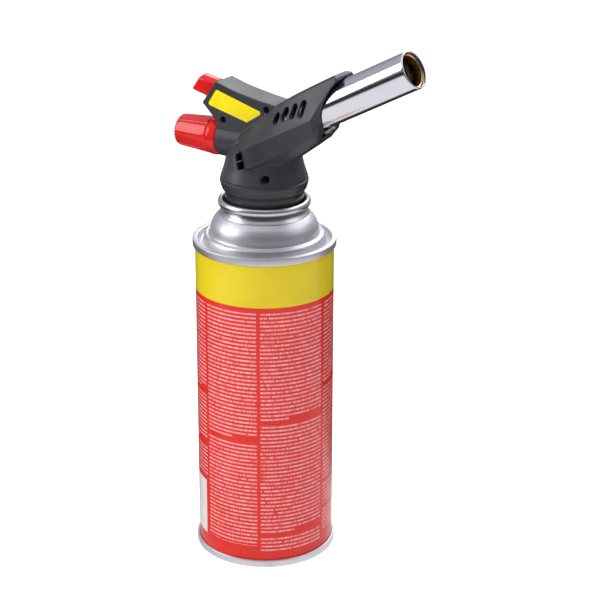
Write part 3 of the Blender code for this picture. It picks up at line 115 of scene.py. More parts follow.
def eased(points, steps=4):
    """A smooth curve through the points."""
    spots = []
    last = len(points) - 1
    for index in range(last):
        a = Vector(points[max(index - 1, 0)])
        b = Vector(points[index])
        c = Vector(points[index + 1])
        d = Vector(points[min(index + 2, last)])
        for step in range(steps):
            t = step / steps
            spot = 0.5 * ((2.0 * b) + (c - a) * t + (2.0 * a - 5.0 * b + 4.0 * c - d) * t * t
                          + (3.0 * b - a - 3.0 * c + d) * t ** 3)
            spots.append(tuple(spot))
    spots.append(tuple(points[-1]))
    return spots


def arc(centre, radius, start, stop, steps):
    spots = []
    for step in range(steps + 1):
        angle = math.radians(start + (stop - start) * step / steps)
        spots.append((centre[0] + radius * math.cos(angle), centre[1] + radius * math.sin(angle)))
    return spots


def rounded(corners, radius, steps, grow=0.0):
    """An outline with its corners rounded to a radius, then grown outwards."""
    spots = []
    count = len(corners)
    for index in range(count):
        here = Vector(corners[index])
        back = (Vector(corners[index - 1]) - here).normalized()
        ahead = (Vector(corners[(index + 1) % count]) - here).normalized()
        half = back.angle(ahead) / 2.0
        reach = radius / math.tan(half)
        hub = here + (back + ahead).normalized() * (radius / math.sin(half))
        start = here + back * reach - hub
        stop = here + ahead * reach - hub
        for step in range(steps + 1):
            way = start.slerp(stop, step / steps)
            spots.append(tuple(hub + way * (1.0 + grow / radius)))
    return spots


def shade_smooth(mesh, sharp):
    """Smooth shading that stops at edges sharper than an angle."""
    mesh.polygons.foreach_set("use_smooth", [True] * len(mesh.polygons))
    mesh.set_sharp_from_angle(angle=math.radians(sharp))


def piece(name, bm, look, smooth=True, sharp=35.0):
    """Ends a bmesh as an object at the origin, with its place in its mesh."""
    bmesh.ops.remove_doubles(bm, verts=bm.verts, dist=0.0005 * MM)
    bmesh.ops.recalc_face_normals(bm, faces=bm.faces)
    mesh = bpy.data.meshes.new(name)
    bm.to_mesh(mesh)
    bm.free()
    if smooth:
        shade_smooth(mesh, sharp)
    made = bpy.data.objects.new(name, mesh)
    bpy.context.scene.collection.objects.link(made)
    if look:
        mesh.materials.append(look)
    return made


def turned(profile, place, steps, closed=True):
    """Spins a profile of (radius, height), in millimetres, about the local Z axis."""
    bm = bmesh.new()
    verts = [bm.verts.new((radius, 0.0, height)) for radius, height in scaled(profile)]
    pairs = list(zip(verts, verts[1:]))
    if closed:
        pairs.append((verts[-1], verts[0]))
    edges = []
    for one, two in pairs:
        if one.co.x > 1e-7 or two.co.x > 1e-7:
            edges.append(bm.edges.new((one, two)))
    bmesh.ops.spin(bm, geom=verts + edges, cent=(0, 0, 0), axis=(0, 0, 1), dvec=(0, 0, 0),
                   angle=FULL, steps=steps, use_merge=True)
    bmesh.ops.remove_doubles(bm, verts=bm.verts, dist=0.0005 * MM)
    bmesh.ops.transform(bm, matrix=place, verts=bm.verts)
    return bm


def plate(outline, low, high, place):
    """Extrudes a flat outline from one depth to another, all in millimetres."""
    bm = bmesh.new()
    face = bm.faces.new([bm.verts.new((a, b, low * MM)) for a, b in scaled(outline)])
    grown = bmesh.ops.extrude_face_region(bm, geom=[face])
    tops = [item for item in grown["geom"] if isinstance(item, bmesh.types.BMVert)]
    bmesh.ops.translate(bm, vec=(0, 0, high * MM - low * MM), verts=tops)
    bmesh.ops.transform(bm, matrix=place, verts=bm.verts)
    return bm


def lofted(rings, place):
    """Bridges rings of points into a closed skin."""
    bm = bmesh.new()
    loops = []
    for ring in rings:
        verts = [bm.verts.new(spot) for spot in ring]
        loops.append([bm.edges.new((verts[i - 1], verts[i])) for i in range(len(verts))])
    for one, two in zip(loops, loops[1:]):
        bmesh.ops.bridge_loops(bm, edges=one + two)
    bmesh.ops.holes_fill(bm, edges=loops[0] + loops[-1], sides=0)
    bmesh.ops.transform(bm, matrix=place, verts=bm.verts)
    return bm


def bevelled(bm, width, segments, least=30.0):
    """Rounds every edge sharper than an angle."""
    bmesh.ops.recalc_face_normals(bm, faces=bm.faces)
    sharp = [e for e in bm.edges
             if len(e.link_faces) == 2 and e.calc_face_angle(0.0) > math.radians(least)]
    bmesh.ops.bevel(bm, geom=sharp, offset=width, segments=segments, profile=0.5,
                    affect="EDGES", material=-1, clamp_overlap=True)
    return bm


def settle(target):
    """Applies the modifiers of a piece."""
    bpy.context.view_layer.update()
    graph = bpy.context.evaluated_depsgraph_get()
    mesh = bpy.data.meshes.new_from_object(target.evaluated_get(graph))
    target.modifiers.clear()
    old = target.data
    target.data = mesh
    bpy.data.meshes.remove(old)


def join(target, bm, operation="UNION"):
    tool = piece("tool", bm, None, False)
    step = target.modifiers.new("shape", "BOOLEAN")
    step.operation = operation
    step.solver = "EXACT"
    step.object = tool
    settle(target)
    bpy.data.objects.remove(tool, do_unlink=True)


def carve(target, bm):
    join(target, bm, "DIFFERENCE")


def tidy_cut(target, sharp=40.0):
    """Welds the seams that a join or a cut leaves, and shades the piece again."""
    bm = bmesh.new()
    bm.from_mesh(target.data)
    bmesh.ops.remove_doubles(bm, verts=bm.verts, dist=0.001 * MM)
    bm.to_mesh(target.data)
    bm.free()
    shade_smooth(target.data, sharp)


# ------------------------ node helpers
def node(tree, kind, **settings):
    made = tree.nodes.new(kind)
    for name, value in settings.items():
        setattr(made, name, value)
    return made


def feed(tree, socket, value):
    """Sets a plain number or colour on a socket, or links a value to it."""
    if isinstance(value, (int, float, tuple)):
        socket.default_value = (*value, 1.0) if socket.type == "RGBA" else value
    else:
        tree.links.new(value, socket)


def fill(tree, target, **values):
    """Feeds the sockets of a node by their labels."""
    for label, value in values.items():
        feed(tree, target.inputs[label.replace("_", " ")], value)


def calc(tree, operation, *values, clamp=False):
    made = node(tree, "ShaderNodeMath", operation=operation, use_clamp=clamp)
    for socket, value in zip(made.inputs, values):
        feed(tree, socket, value)
    return made.outputs[0]


def times(tree, first, *others):
    for other in others:
        first = calc(tree, "MULTIPLY", first, other)
    return first


def ramp(tree, value, low, high, start=0.0, stop=1.0):
    made = node(tree, "ShaderNodeMapRange", interpolation_type="SMOOTHSTEP")
    for socket, part in zip(made.inputs, (value, low, high, start, stop)):
        feed(tree, socket, part)
    return made.outputs[0]


def split(tree, vector):
    made = node(tree, "ShaderNodeSeparateXYZ")
    tree.links.new(vector, made.inputs[0])
    return made.outputs


def merge(tree, *values):
    made = node(tree, "ShaderNodeCombineXYZ")
    for socket, value in zip(made.inputs, values):
        feed(tree, socket, value)
    return made.outputs[0]


def off_axis(tree, parts):
    """The distance from the local Z axis."""
    squares = [calc(tree, "POWER", part, 2.0) for part in (parts[0], parts[1])]
    return calc(tree, "SQRT", calc(tree, "ADD", *squares))


def along(tree, parts, x, y):
    """The distance along a level direction."""
    return calc(tree, "ADD", times(tree, parts[0], x), times(tree, parts[1], y))


def blend_colours(tree, share, one, two, blend="MIX"):
    made = node(tree, "ShaderNodeMix", data_type="RGBA", blend_type=blend)
    feed(tree, made.inputs["Factor"], share)
    feed(tree, made.inputs[6], one)
    feed(tree, made.inputs[7], two)
    return made.outputs[2]


def noise(tree, vector, scale, detail, rough=0.5):
    made = node(tree, "ShaderNodeTexNoise")
    fill(tree, made, Vector=vector, Scale=scale, Detail=detail, Roughness=rough)
    return made.outputs["Fac"]


def relief(tree, height, strength, distance):
    made = node(tree, "ShaderNodeBump")
    fill(tree, made, Height=height, Strength=strength, Distance=distance)
    return made.outputs["Normal"]


def start_group(name, inputs, outputs):
    tree = bpy.data.node_groups.new(name, "ShaderNodeTree")
    for label, kind, value in inputs:
        socket = tree.interface.new_socket(label, in_out="INPUT", socket_type="NodeSocket" + kind)
        if value is not None:
            socket.default_value = value
    for label, kind in outputs:
        tree.interface.new_socket(label, in_out="OUTPUT", socket_type="NodeSocket" + kind)
    return tree, tree.nodes.new("NodeGroupInput").outputs, tree.nodes.new("NodeGroupOutput")


def place_group(tree, group, **values):
    made = node(tree, "ShaderNodeGroup", node_tree=group)
    fill(tree, made, **values)
    return made.outputs


# ------------------------ shared effects
def moulded_grain_group():
    """Fine spark-eroded texture of moulded plastic, with faint wide tone changes."""
    tree, given, out = start_group(
        "moulded grain",
        [("Place", "Vector", None), ("Colour", "Color", None), ("Roughness", "Float", 0.5),
         ("Grain size", "Float", 2600.0), ("Depth", "Float", 0.2)],
        [("Colour", "Color"), ("Roughness", "Float"), ("Normal", "Vector")])
    fine = noise(tree, given["Place"], given["Grain size"], 4.0)
    wide = noise(tree, given["Place"], 55.0, 2.0)
    shade = times(tree, ramp(tree, wide, 0.3, 0.7, 0.9, 1.1), ramp(tree, fine, 0.35, 0.65, 0.93, 1.07))
    rough = times(tree, given["Roughness"], ramp(tree, wide, 0.3, 0.7, 0.92, 1.1))
    fill(tree, out, Colour=blend_colours(tree, 1.0, given["Colour"], shade, "MULTIPLY"),
         Roughness=rough, Normal=relief(tree, fine, given["Depth"], 0.05 * MM))
    return tree


def handling_group():
    """Smudges and dust that lift the roughness in soft patches."""
    tree, given, out = start_group(
        "handling marks",
        [("Place", "Vector", None), ("Roughness", "Float", 0.2), ("Amount", "Float", 0.15)],
        [("Roughness", "Float"), ("Patches", "Float")])
    patches = ramp(tree, noise(tree, given["Place"], 70.0, 5.0, 0.6), 0.42, 0.72)
    fine = ramp(tree, noise(tree, given["Place"], 900.0, 3.0), 0.4, 0.75)
    both = calc(tree, "ADD", patches, times(tree, fine, 0.35))
    rough = calc(tree, "MULTIPLY_ADD", both, given["Amount"], given["Roughness"])
    fill(tree, out, Roughness=rough, Patches=patches)
    return tree


def turning_group():
    """Lathe lines round an axis: rings along it and across its faces."""
    tree, given, out = start_group(
        "turning lines",
        [("Place", "Vector", None), ("Pitch", "Float", 4000.0), ("Depth", "Float", 0.15)],
        [("Lines", "Float"), ("Normal", "Vector")])
    parts = split(tree, given["Place"])
    line = merge(tree, times(tree, off_axis(tree, parts), given["Pitch"]),
                 times(tree, parts[2], given["Pitch"]))
    lines = noise(tree, line, 1.0, 4.0, 0.6)
    fill(tree, out, Lines=lines, Normal=relief(tree, lines, given["Depth"], 0.02 * MM))
    return tree


GRAIN = moulded_grain_group()
HANDLING = handling_group()
TURNING = turning_group()


# ------------------------ materials
def start_material(name):
    made = bpy.data.materials.new(name)
    made.use_nodes = True
    tree = made.node_tree
    where = node(tree, "ShaderNodeTexCoord").outputs["Object"]
    return made, tree, tree.nodes["Principled BSDF"], where


def turned_place(tree, where, place):
    """Object coordinates seen from an axis, so that lines run round it."""
    made = node(tree, "ShaderNodeMapping")
    back = place.inverted()
    tree.links.new(where, made.inputs["Vector"])
    made.inputs["Location"].default_value = back.to_translation()
    made.inputs["Rotation"].default_value = back.to_euler()
    return made.outputs[0]


def plastic(name, colour, rough, grain, depth, coat=0.0, gloss=0.35):
    made, tree, shader, where = start_material(name)
    worn = place_group(tree, GRAIN, Place=where, Colour=colour, Roughness=rough,
                       Grain_size=grain, Depth=depth)
    marks = place_group(tree, HANDLING, Place=where, Roughness=worn["Roughness"], Amount=0.06)
    fill(tree, shader, Base_Color=worn["Colour"], Roughness=marks["Roughness"], Normal=worn["Normal"],
         Specular_IOR_Level=gloss, Coat_Weight=coat, Coat_Roughness=0.06)
    return made


def metal(name, colour, rough, place, pitch, depth=0.15, streak=0.08, marks=0.08):
    made, tree, shader, where = start_material(name)
    spot = turned_place(tree, where, place) if place else where
    lines = place_group(tree, TURNING, Place=spot, Pitch=pitch, Depth=depth)
    dirt = place_group(tree, HANDLING, Place=where, Roughness=rough, Amount=marks)
    dull = tuple(part * 0.86 for part in colour)
    fill(tree, shader, Base_Color=blend_colours(tree, times(tree, dirt["Patches"], 0.5), colour, dull),
         Roughness=calc(tree, "MULTIPLY_ADD", lines["Lines"], streak, dirt["Roughness"]),
         Normal=lines["Normal"], Metallic=1.0)
    return made


# the can's print: columns as (from, to) in degrees round it and the height where they end,
# and paragraph ends as (column, blank row, share of the row above that is printed)
COLUMNS = [(-141.0, -115.0, 41.0), (-112.0, -64.0, 11.0), (-61.0, -3.2, 8.0), (0.0, 48.0, 11.5),
           (51.0, 100.0, 9.0), (103.0, 152.0, 14.0), (155.0, 180.0, 41.0), (-180.0, -144.0, 9.0)]
PARAGRAPH_ENDS = [(1, 43, 0.6), (1, 29, 0.4), (2, 33, 0.55), (3, 38, 0.41), (3, 8, 0.5), (4, 45, 0.3),
                  (4, 19, 0.6), (4, 12, 0.35), (5, 51, 0.4), (5, 22, 0.6), (6, 36, 0.5), (6, 14, 0.3),
                  (7, 40, 0.5), (8, 30, 0.7)]
ROW_PITCH = 1.98
DEGREE_WIDTH = 0.576
PRINT_TOP = 132.2
BAND_FOOT = 134.5


def printed_can():
    """Litho print: a yellow band over red, with pale broken lines in columns."""
    made, tree, shader, where = start_material("printed_can")
    parts = split(tree, where)
    x = calc(tree, "SUBTRACT", parts[0], CAN_X)
    turn = times(tree, calc(tree, "ARCTAN2", parts[1], x), 180.0 / math.pi)
    height = calc(tree, "DIVIDE", parts[2], MM)

    # which column a point is in, how far across it, and where that column ends
    inside = 0.0
    number = 0.0
    share = 0.0
    bottom = 0.0
    for order, (low, high, end) in enumerate(COLUMNS, 1):
        here = times(tree, calc(tree, "GREATER_THAN", turn, low), calc(tree, "LESS_THAN", turn, high))
        part = calc(tree, "DIVIDE", calc(tree, "SUBTRACT", turn, low), high - low)
        inside = calc(tree, "ADD", inside, here)
        number = calc(tree, "MULTIPLY_ADD", here, float(order), number)
        share = calc(tree, "MULTIPLY_ADD", here, part, share)
        bottom = calc(tree, "MULTIPLY_ADD", here, end, bottom)

    row = calc(tree, "DIVIDE", height, ROW_PITCH)
    row_number = calc(tree, "FLOOR", row)
    row_part = calc(tree, "FRACT", row)
    stroke = times(tree, ramp(tree, row_part, 0.2, 0.36), ramp(tree, row_part, 0.76, 0.6))
    hidden = 0.0
    for column, blank, printed in PARAGRAPH_ENDS:
        right = calc(tree, "COMPARE", number, float(column), 0.1)
        empty = calc(tree, "COMPARE", row_number, float(blank), 0.1)
        over = times(tree, calc(tree, "COMPARE", row_number, blank + 1.0, 0.1),
                     calc(tree, "GREATER_THAN", share, printed))
        hidden = calc(tree, "ADD", hidden, times(tree, right, calc(tree, "ADD", empty, over)))
    shown = calc(tree, "SUBTRACT", 1.0, hidden, clamp=True)

    line = merge(tree, times(tree, turn, DEGREE_WIDTH), times(tree, row_number, 3.7), number)
    words = ramp(tree, noise(tree, line, 0.8, 2.0), 0.3, 0.35)
    strokes = ramp(tree, noise(tree, line, 1.9, 3.0), 0.4, 0.56, 0.28, 1.0)
    field = times(tree, calc(tree, "GREATER_THAN", height, bottom),
                  ramp(tree, height, PRINT_TOP, PRINT_TOP - 0.4))
    ink = times(tree, words, strokes, stroke, shown, inside, field)
    patch = times(tree, ramp(tree, turn, -143.0, -142.6), ramp(tree, turn, -117.2, -117.6),
                  ramp(tree, height, 10.0, 10.3), ramp(tree, height, 39.0, 38.7))

    tone = ramp(tree, noise(tree, where, 38.0, 2.0), 0.3, 0.7)
    red = blend_colours(tree, tone, (0.745, 0.022, 0.012), (0.79, 0.03, 0.016))
    yellow = blend_colours(tree, tone, (0.78, 0.6, 0.006), (0.82, 0.65, 0.01))
    printed = blend_colours(tree, times(tree, ink, 0.9), red, (0.9, 0.55, 0.58))
    printed = blend_colours(tree, patch, printed, (0.82, 0.8, 0.78))
    band = ramp(tree, height, BAND_FOOT, BAND_FOOT + 0.3)
    marks = place_group(tree, HANDLING, Place=where, Roughness=0.22, Amount=0.06)
    fill(tree, shader, Base_Color=blend_colours(tree, band, printed, yellow),
         Roughness=marks["Roughness"], Normal=relief(tree, ink, 0.12, 0.02 * MM),
         Specular_IOR_Level=0.25, Coat_Weight=0.35, Coat_Roughness=0.08)
    return made


def label_film():
    """Bare yellow film."""
    made, tree, shader, where = start_material("label_film")
    tone = ramp(tree, noise(tree, where, 120.0, 3.0), 0.3, 0.7)
    marks = place_group(tree, HANDLING, Place=where, Roughness=0.34, Amount=0.08)
    fill(tree, shader, Base_Color=blend_colours(tree, tone, (0.92, 0.71, 0.002), (0.97, 0.77, 0.004)),
         Roughness=marks["Roughness"], Specular_IOR_Level=0.2)
    return made


def heated_steel():
    """Steel that the flame has browned in patches."""
    made, tree, shader, where = start_material("heated_steel")
    patches = noise(tree, where, 260.0, 4.0, 0.6)
    colour = blend_colours(tree, ramp(tree, patches, 0.35, 0.65), (0.05, 0.035, 0.025), (0.16, 0.11, 0.07))
    fill(tree, shader, Base_Color=colour, Roughness=ramp(tree, patches, 0.3, 0.7, 0.35, 0.6), Metallic=0.9)
    return made


def mouth_brass():
    """Brass at the lip, darker brown further into the mouth."""
    made, tree, shader, where = start_material("mouth_brass")
    station = split(tree, turned_place(tree, where, on_tube()))[2]
    patches = noise(tree, where, 420.0, 4.0, 0.6)
    plain_metal = ramp(tree, calc(tree, "MULTIPLY_ADD", patches, 1.6 * MM, station), 84.6 * MM, 87.0 * MM)
    fill(tree, shader, Base_Color=blend_colours(tree, plain_metal, (0.16, 0.09, 0.04), (0.85, 0.62, 0.3)),
         Roughness=ramp(tree, patches, 0.3, 0.7, 0.22, 0.4), Metallic=1.0)
    return made


def rolled_tin():
    """Bright at the rolled bead, with painted shade, a dark brownish band, in the throat under it."""
    made = metal("rolled_edge_tin", (0.82, 0.82, 0.84), 0.27, on_can(), 2500.0, 0.03, 0.03, 0.05)
    tree = made.node_tree
    colour = tree.nodes["Principled BSDF"].inputs["Base Color"]
    height = split(tree, node(tree, "ShaderNodeTexCoord").outputs["Object"])[2]
    # painted shade: a dark brownish band under the bead, where the bead shades the dome's neck
    shade_under_bead = times(tree, ramp(tree, height, 171.3 * MM, 173.8 * MM),
                   ramp(tree, height, 175.6 * MM, 174.8 * MM))
    plain_metal = colour.links[0].from_socket
    tree.links.new(blend_colours(tree, shade_under_bead, plain_metal, (0.34, 0.3, 0.26)), colour)
    return made


LOOKS = {
    "can": printed_can(),
    "tin": metal("pressed_tin", (0.82, 0.82, 0.85), 0.41, on_can(), 2500.0, 0.05, 0.05, 0.06),
    "rolled": rolled_tin(),
    "chrome": metal("polished_tube", (0.86, 0.86, 0.89), 0.06, on_tube(), 3000.0, 0.03, 0.03, 0.04),
    "brass_tube": metal("brass_on_tube", (0.72, 0.5, 0.2), 0.22, on_tube(), 3500.0),
    "brass_can": metal("brass_on_can", (0.62, 0.45, 0.18), 0.3, on_can(), 3500.0),
    "brass_spindle": metal("brass_on_spindle", (0.62, 0.45, 0.18), 0.25, on_spindle(), 3500.0),
    "zinc": metal("zinc_steel", (0.62, 0.62, 0.64), 0.28, None, 2500.0, 0.1),
    "dark": metal("blackened_steel", (0.06, 0.06, 0.065), 0.42, None, 2500.0, 0.1),
    "mouth": mouth_brass(),
    "heated": heated_steel(),
    "grey": plastic("grey_moulding", (0.034, 0.032, 0.041), 0.36, 2600.0, 0.2, 0.0, 0.5),
    "black": plastic("black_moulding", (0.024, 0.024, 0.028), 0.28, 2600.0, 0.1, 0.0, 0.5),
    "red": plastic("red_moulding", (0.66, 0.006, 0.003), 0.2, 1400.0, 0.03, 0.4, 0.35),
    "acetal": plastic("acetal", (0.78, 0.75, 0.68), 0.35, 1400.0, 0.08),
    "ceramic": plastic("fired_ceramic", (0.82, 0.8, 0.74), 0.5, 3500.0, 0.25),
    "rubber": plastic("seal_rubber", (0.02, 0.02, 0.022), 0.7, 1800.0, 0.3),
    "sleeve": plastic("wire_sleeve", (0.03, 0.03, 0.032), 0.5, 1800.0, 0.12),
    "label": label_film(),
}


# ------------------------ cartridge
def can_wall():
    inner = CAN_RADIUS - 0.4
    wall = [(CAN_RADIUS, 1.6), (CAN_RADIUS, 157.4), (inner, 157.4), (inner, 1.6)]
    made = piece("can_wall", turned(wall, on_can(), 160), LOOKS["can"])
    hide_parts("can_body")
    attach(made, "cartridge")


def can_foot():
    """The domed base with its rolled seam: outside first, then inside."""
    foot = arc((SEAM_MIDDLE, 0.5), SEAM_ROUND, 270, 360, 5)
    foot += arc((SEAM_MIDDLE, 3.1), SEAM_ROUND, 0, 90, 5)
    foot += [(33.28, 3.6), (33.28, 1.2), (32.3, 1.2), (32.3, 3.9), (30.0, 4.0)]
    foot += eased([(30.0, 4.0), (19.8, 8.0), (9.0, 9.7), (0.0, 10.1)], 6)[1:]
    foot += [(0.0, 9.7)] + eased([(0.0, 9.7), (9.0, 9.3), (19.8, 7.6), (29.4, 3.3)], 6)[1:]
    foot += [(31.2, 2.6), (31.6, 2.0)] + arc((32.1, 0.5), SEAM_ROUND, 180, 270, 5)
    made = piece("can_foot", turned(foot, on_can(), 160), LOOKS["tin"])
    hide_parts("can_base")
    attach(made, "cartridge")


def can_dome():
    """The pressed top: its rolled seam, the outside, then the inside."""
    face = arc((32.1, 158.5), SEAM_ROUND, 90, 180, 5)
    face += eased([(31.55, 157.6), (31.25, 156.6), (30.5, 156.0), (29.8, 156.05), (29.3, 156.9),
                   (28.95, 158.6), (28.6, 160.1), (28.0, 160.95), (27.3, 161.05), (26.6, 160.95),
                   (26.05, 161.4), (25.75, 162.6), (25.5, 164.4), (24.95, 166.4), (23.8, 168.5),
                   (22.6, 169.9), (21.75, 170.75), (21.0, 171.15), (19.6, 171.2), (18.0, 171.2)], 4)
    face += [(14.8, 171.2), (13.9, 172.05), (12.9, 172.0), (12.7, 171.2), (12.7, 170.4)]
    inner = [(12.3, 170.4), (12.3, 171.6), (14.6, 170.8), (19.4, 170.75)]
    inner += [(22.0, 169.4), (24.5, 166.2), (25.3, 162.5), (26.4, 160.5), (27.9, 160.4)]
    inner += [(28.5, 158.6), (29.4, 155.6), (31.4, 155.8), (32.3, 157.2), (32.3, 157.8), (33.28, 157.8)]
    rim = [(33.28, 155.4)] + arc((SEAM_MIDDLE, 155.9), SEAM_ROUND, 270, 360, 5)
    rim += arc((SEAM_MIDDLE, 158.5), SEAM_ROUND, 0, 90, 5)
    made = piece("can_dome", turned(rim + face + inner, on_can(), 160), LOOKS["tin"],
                 sharp=50.0)
    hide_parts("can_top_dome")
    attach(made, "cartridge")


def collar():
    """The rolled bead over a flange with three notches for the head's lugs."""
    bead = [(x, 176.6 + (z - 177.1) * 1.35) for x, z in arc((20.55, 177.1), 1.4, -140, 172, 26)]
    loop = [(15.6, 171.5), (20.4, 171.5), (21.5, 171.14)]
    loop += eased([(21.52, 171.2), (21.1, 171.8), (20.4, 172.7), (20.0, 173.7), (19.7, 174.9)], 4)
    loop += bead + [(18.95, 176.6), (18.95, 174.4), (17.0, 174.4), (17.0, 173.6), (18.95, 173.6)]
    loop += [(18.95, 172.0), (15.6, 172.0)]
    made = piece("rolled_collar", turned(loop, on_can(), 144), LOOKS["rolled"], sharp=50.0)
    for turn in range(3):
        angle = FULL * turn / 3.0 + math.radians(60.0)
        spin = on_can() @ Matrix.Rotation(angle, 4, "Z")
        notch = arc((0.0, 0.0), 18.93, -21.0, 21.0, 14) + arc((0.0, 0.0), 15.9, 21.0, -21.0, 14)
        carve(made, plate(notch, 173.3, 174.9, spin))
    tidy_cut(made)
    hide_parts("mounting_collar")
    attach(made, "cartridge")


# half the width of a lug, in degrees
LUG_REACH = 16.6


def head_ring():
    """The black ring inside the collar, with three bayonet lugs."""
    loop = [(18.35, 174.7), (18.65, 175.0), (18.65, 181.9), (18.45, 182.0), (18.45, 182.3)]
    loop += [(18.65, 182.4), (18.65, 186.7), (15.0, 186.7), (15.0, 181.0), (12.5, 181.0), (12.5, 179.4)]
    loop += [(15.9, 179.4), (15.9, 172.4), (16.6, 172.4), (16.6, 174.7)]
    made = piece("head_ring", turned(loop, on_can(), 128), LOOKS["black"], sharp=50.0)
    for turn in range(3):
        spin = on_can() @ Matrix.Rotation(FULL * turn / 3.0, 4, "Z")
        lug = arc((0.0, 0.0), 18.6, -LUG_REACH, LUG_REACH, 10)
        lug += arc((0.0, 0.0), 16.3, LUG_REACH, -LUG_REACH, 10)
        join(made, plate(lug, 172.3, 173.3, spin))
    tidy_cut(made, 50.0)
    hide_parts("base_ring")
    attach(made, "head")


# ------------------------ housing
# the bell's outside, as (radius, height)
BELL = [(20.9, 187.4), (20.88, 187.9), (20.8, 188.05), (20.0, 188.15), (20.0, 188.85),
        (20.62, 188.95), (20.35, 189.6), (19.9, 191.0), (18.9, 194.1), (18.15, 197.3),
        (17.6, 199.5), (16.2, 202.1), (14.2, 204.1), (11.5, 205.7), (7.5, 206.9), (0.0, 207.4)]
# the igniter box from the side, as (x from the can's axis, height)
BOX_TOP = [(-22.4, 232.1), (-13.4, 229.4), (-5.0, 227.6), (3.4, 226.1), (12.0, 224.9)]
BOX_LOW = [(14.0, 216.0), (5.0, 204.0), (-22.1, 204.0), (-22.1, 212.4)]
BOX_BACK = [(-24.3, 215.6), (-26.7, 218.0), (-29.9, 221.1)]
# the shroud's front edge from the side, as (station along the tube, height over its axis)
RIM = [(49.6, 12.9), (51.7, 12.1), (53.2, 11.1), (53.9, 10.1), (53.8, 9.1), (52.6, 8.2),
       (49.8, 6.9), (47.0, 4.9), (44.0, 2.4), (41.0, -0.8), (38.3, -4.4), (36.2, -7.8), (34.0, -10.2),
       (31.4, -12.2), (28.5, -15.5)]
# the arm's sections, down the near side: (station, height over the tube's axis, half width)
ARM = [
    [(-9.0, 5.6, 4.5), (-8.5, 5.2, 6.6), (-6.0, -1.0, 14.5), (-8.6, -10.6, 15.6), (-8.0, -15.0, 8.0)],
    [(-3.0, 6.6, 4.8), (-3.0, 6.0, 6.9), (0.6, -2.1, 20.4), (-1.5, -11.1, 20.2), (-2.0, -16.4, 11.0)],
    [(10.0, 9.0, 5.0), (10.0, 8.2, 6.9), (11.0, -2.2, 17.9), (10.5, -10.8, 16.9), (10.0, -15.8, 8.5)],
    [(21.6, 10.7, 5.0), (21.6, 9.9, 6.8), (21.6, -2.4, 15.6), (21.6, -10.4, 14.0), (21.6, -14.3, 6.5)],
    [(35.0, 11.5, 5.0), (35.0, 10.6, 6.9), (35.0, -2.6, 13.4), (35.0, -9.7, 11.2), (35.0, -12.5, 5.5)],
    [(62.0, 12.1, 5.0), (62.0, 11.2, 6.9), (62.0, -2.6, 12.2), (62.0, -9.6, 10.0), (62.0, -12.0, 5.5)],
]
# the vents, as (station, height over the tube's axis, length)
VENTS = [(17.7, 4.6, 5.0), (22.8, 4.8, 6.0), (27.8, 4.3, 6.8), (32.6, 3.8, 7.4)]
LABEL = [(-22.2, 229.7), (6.7, 221.2), (-4.7, 214.0), (-28.4, 220.1)]
LABEL_CORNER = 2.1
# the screws, as (name, x, height, reach of the post, depth of the seat, size)
SCREWS = [("rear", -18.2, 214.3, 6.3, 4.25, 1.0), ("front", 5.7, 222.5, 6.3, 4.25, 1.0),
          ("neck", 10.6, 192.2, 13.6, 11.5, 1.3)]
BOX_HALF = 7.15
VENT_ROUND = 1.45
BUTTON_GAP = 0.36
ARM_STEPS = 14
SKIN_VOXEL = 0.3 * MM
LEAST_SHELL = 250
HEAD_SIDE = 25.0 * MM


def arm_ring(section, inset=0.0):
    """A whole ring of the arm from its near half, drawn in for the inside."""
    half = []
    for order, (station, height, width) in enumerate(section):
        if order < 2:
            height -= inset
        if order > 2:
            height += inset * 0.8
        half.append(Vector((-height, width - inset * 1.15, station)) * MM)
    ring = list(half)
    for spot in reversed(half):
        ring.append(Vector((spot.x, -spot.y, spot.z)))
    return ring


def eased_arm():
    """The arm's sections with smooth ones between them."""
    runs = [eased([section[order] for section in ARM], ARM_STEPS) for order in range(len(ARM[0]))]
    return [list(section) for section in zip(*runs)]


def arm_between(station):
    """The arm's section at a station between two of the drawn ones."""
    for before, after in zip(ARM, ARM[1:]):
        low = before[0][0]
        high = after[0][0]
        if low <= station <= high:
            part = (station - low) / (high - low)
            return [tuple(a + (b - a) * part for a, b in zip(one, two))
                    for one, two in zip(before, after)]
    return ARM[-1]


def housing_outside():
    lip = [(0.0, 182.7), (19.0, 182.7), (19.45, 182.85), (19.8, 183.2), (20.4, 184.9), (20.75, 186.3)]
    made = piece("housing", turned(lip + BELL, on_can(), 96, False), None)
    join(made, lofted([arm_ring(section) for section in eased_arm()], on_tube()))
    outline = eased(BOX_TOP, 3) + BOX_LOW + BOX_BACK
    join(made, plate(outline, -BOX_HALF, BOX_HALF, side_on()))
    boss = [(0.0, -22.4), (8.4, -22.4), (8.9, -22.0), (8.9, -4.0), (0.0, -4.0)]
    join(made, turned(boss, on_spindle(), 72, False))
    return made


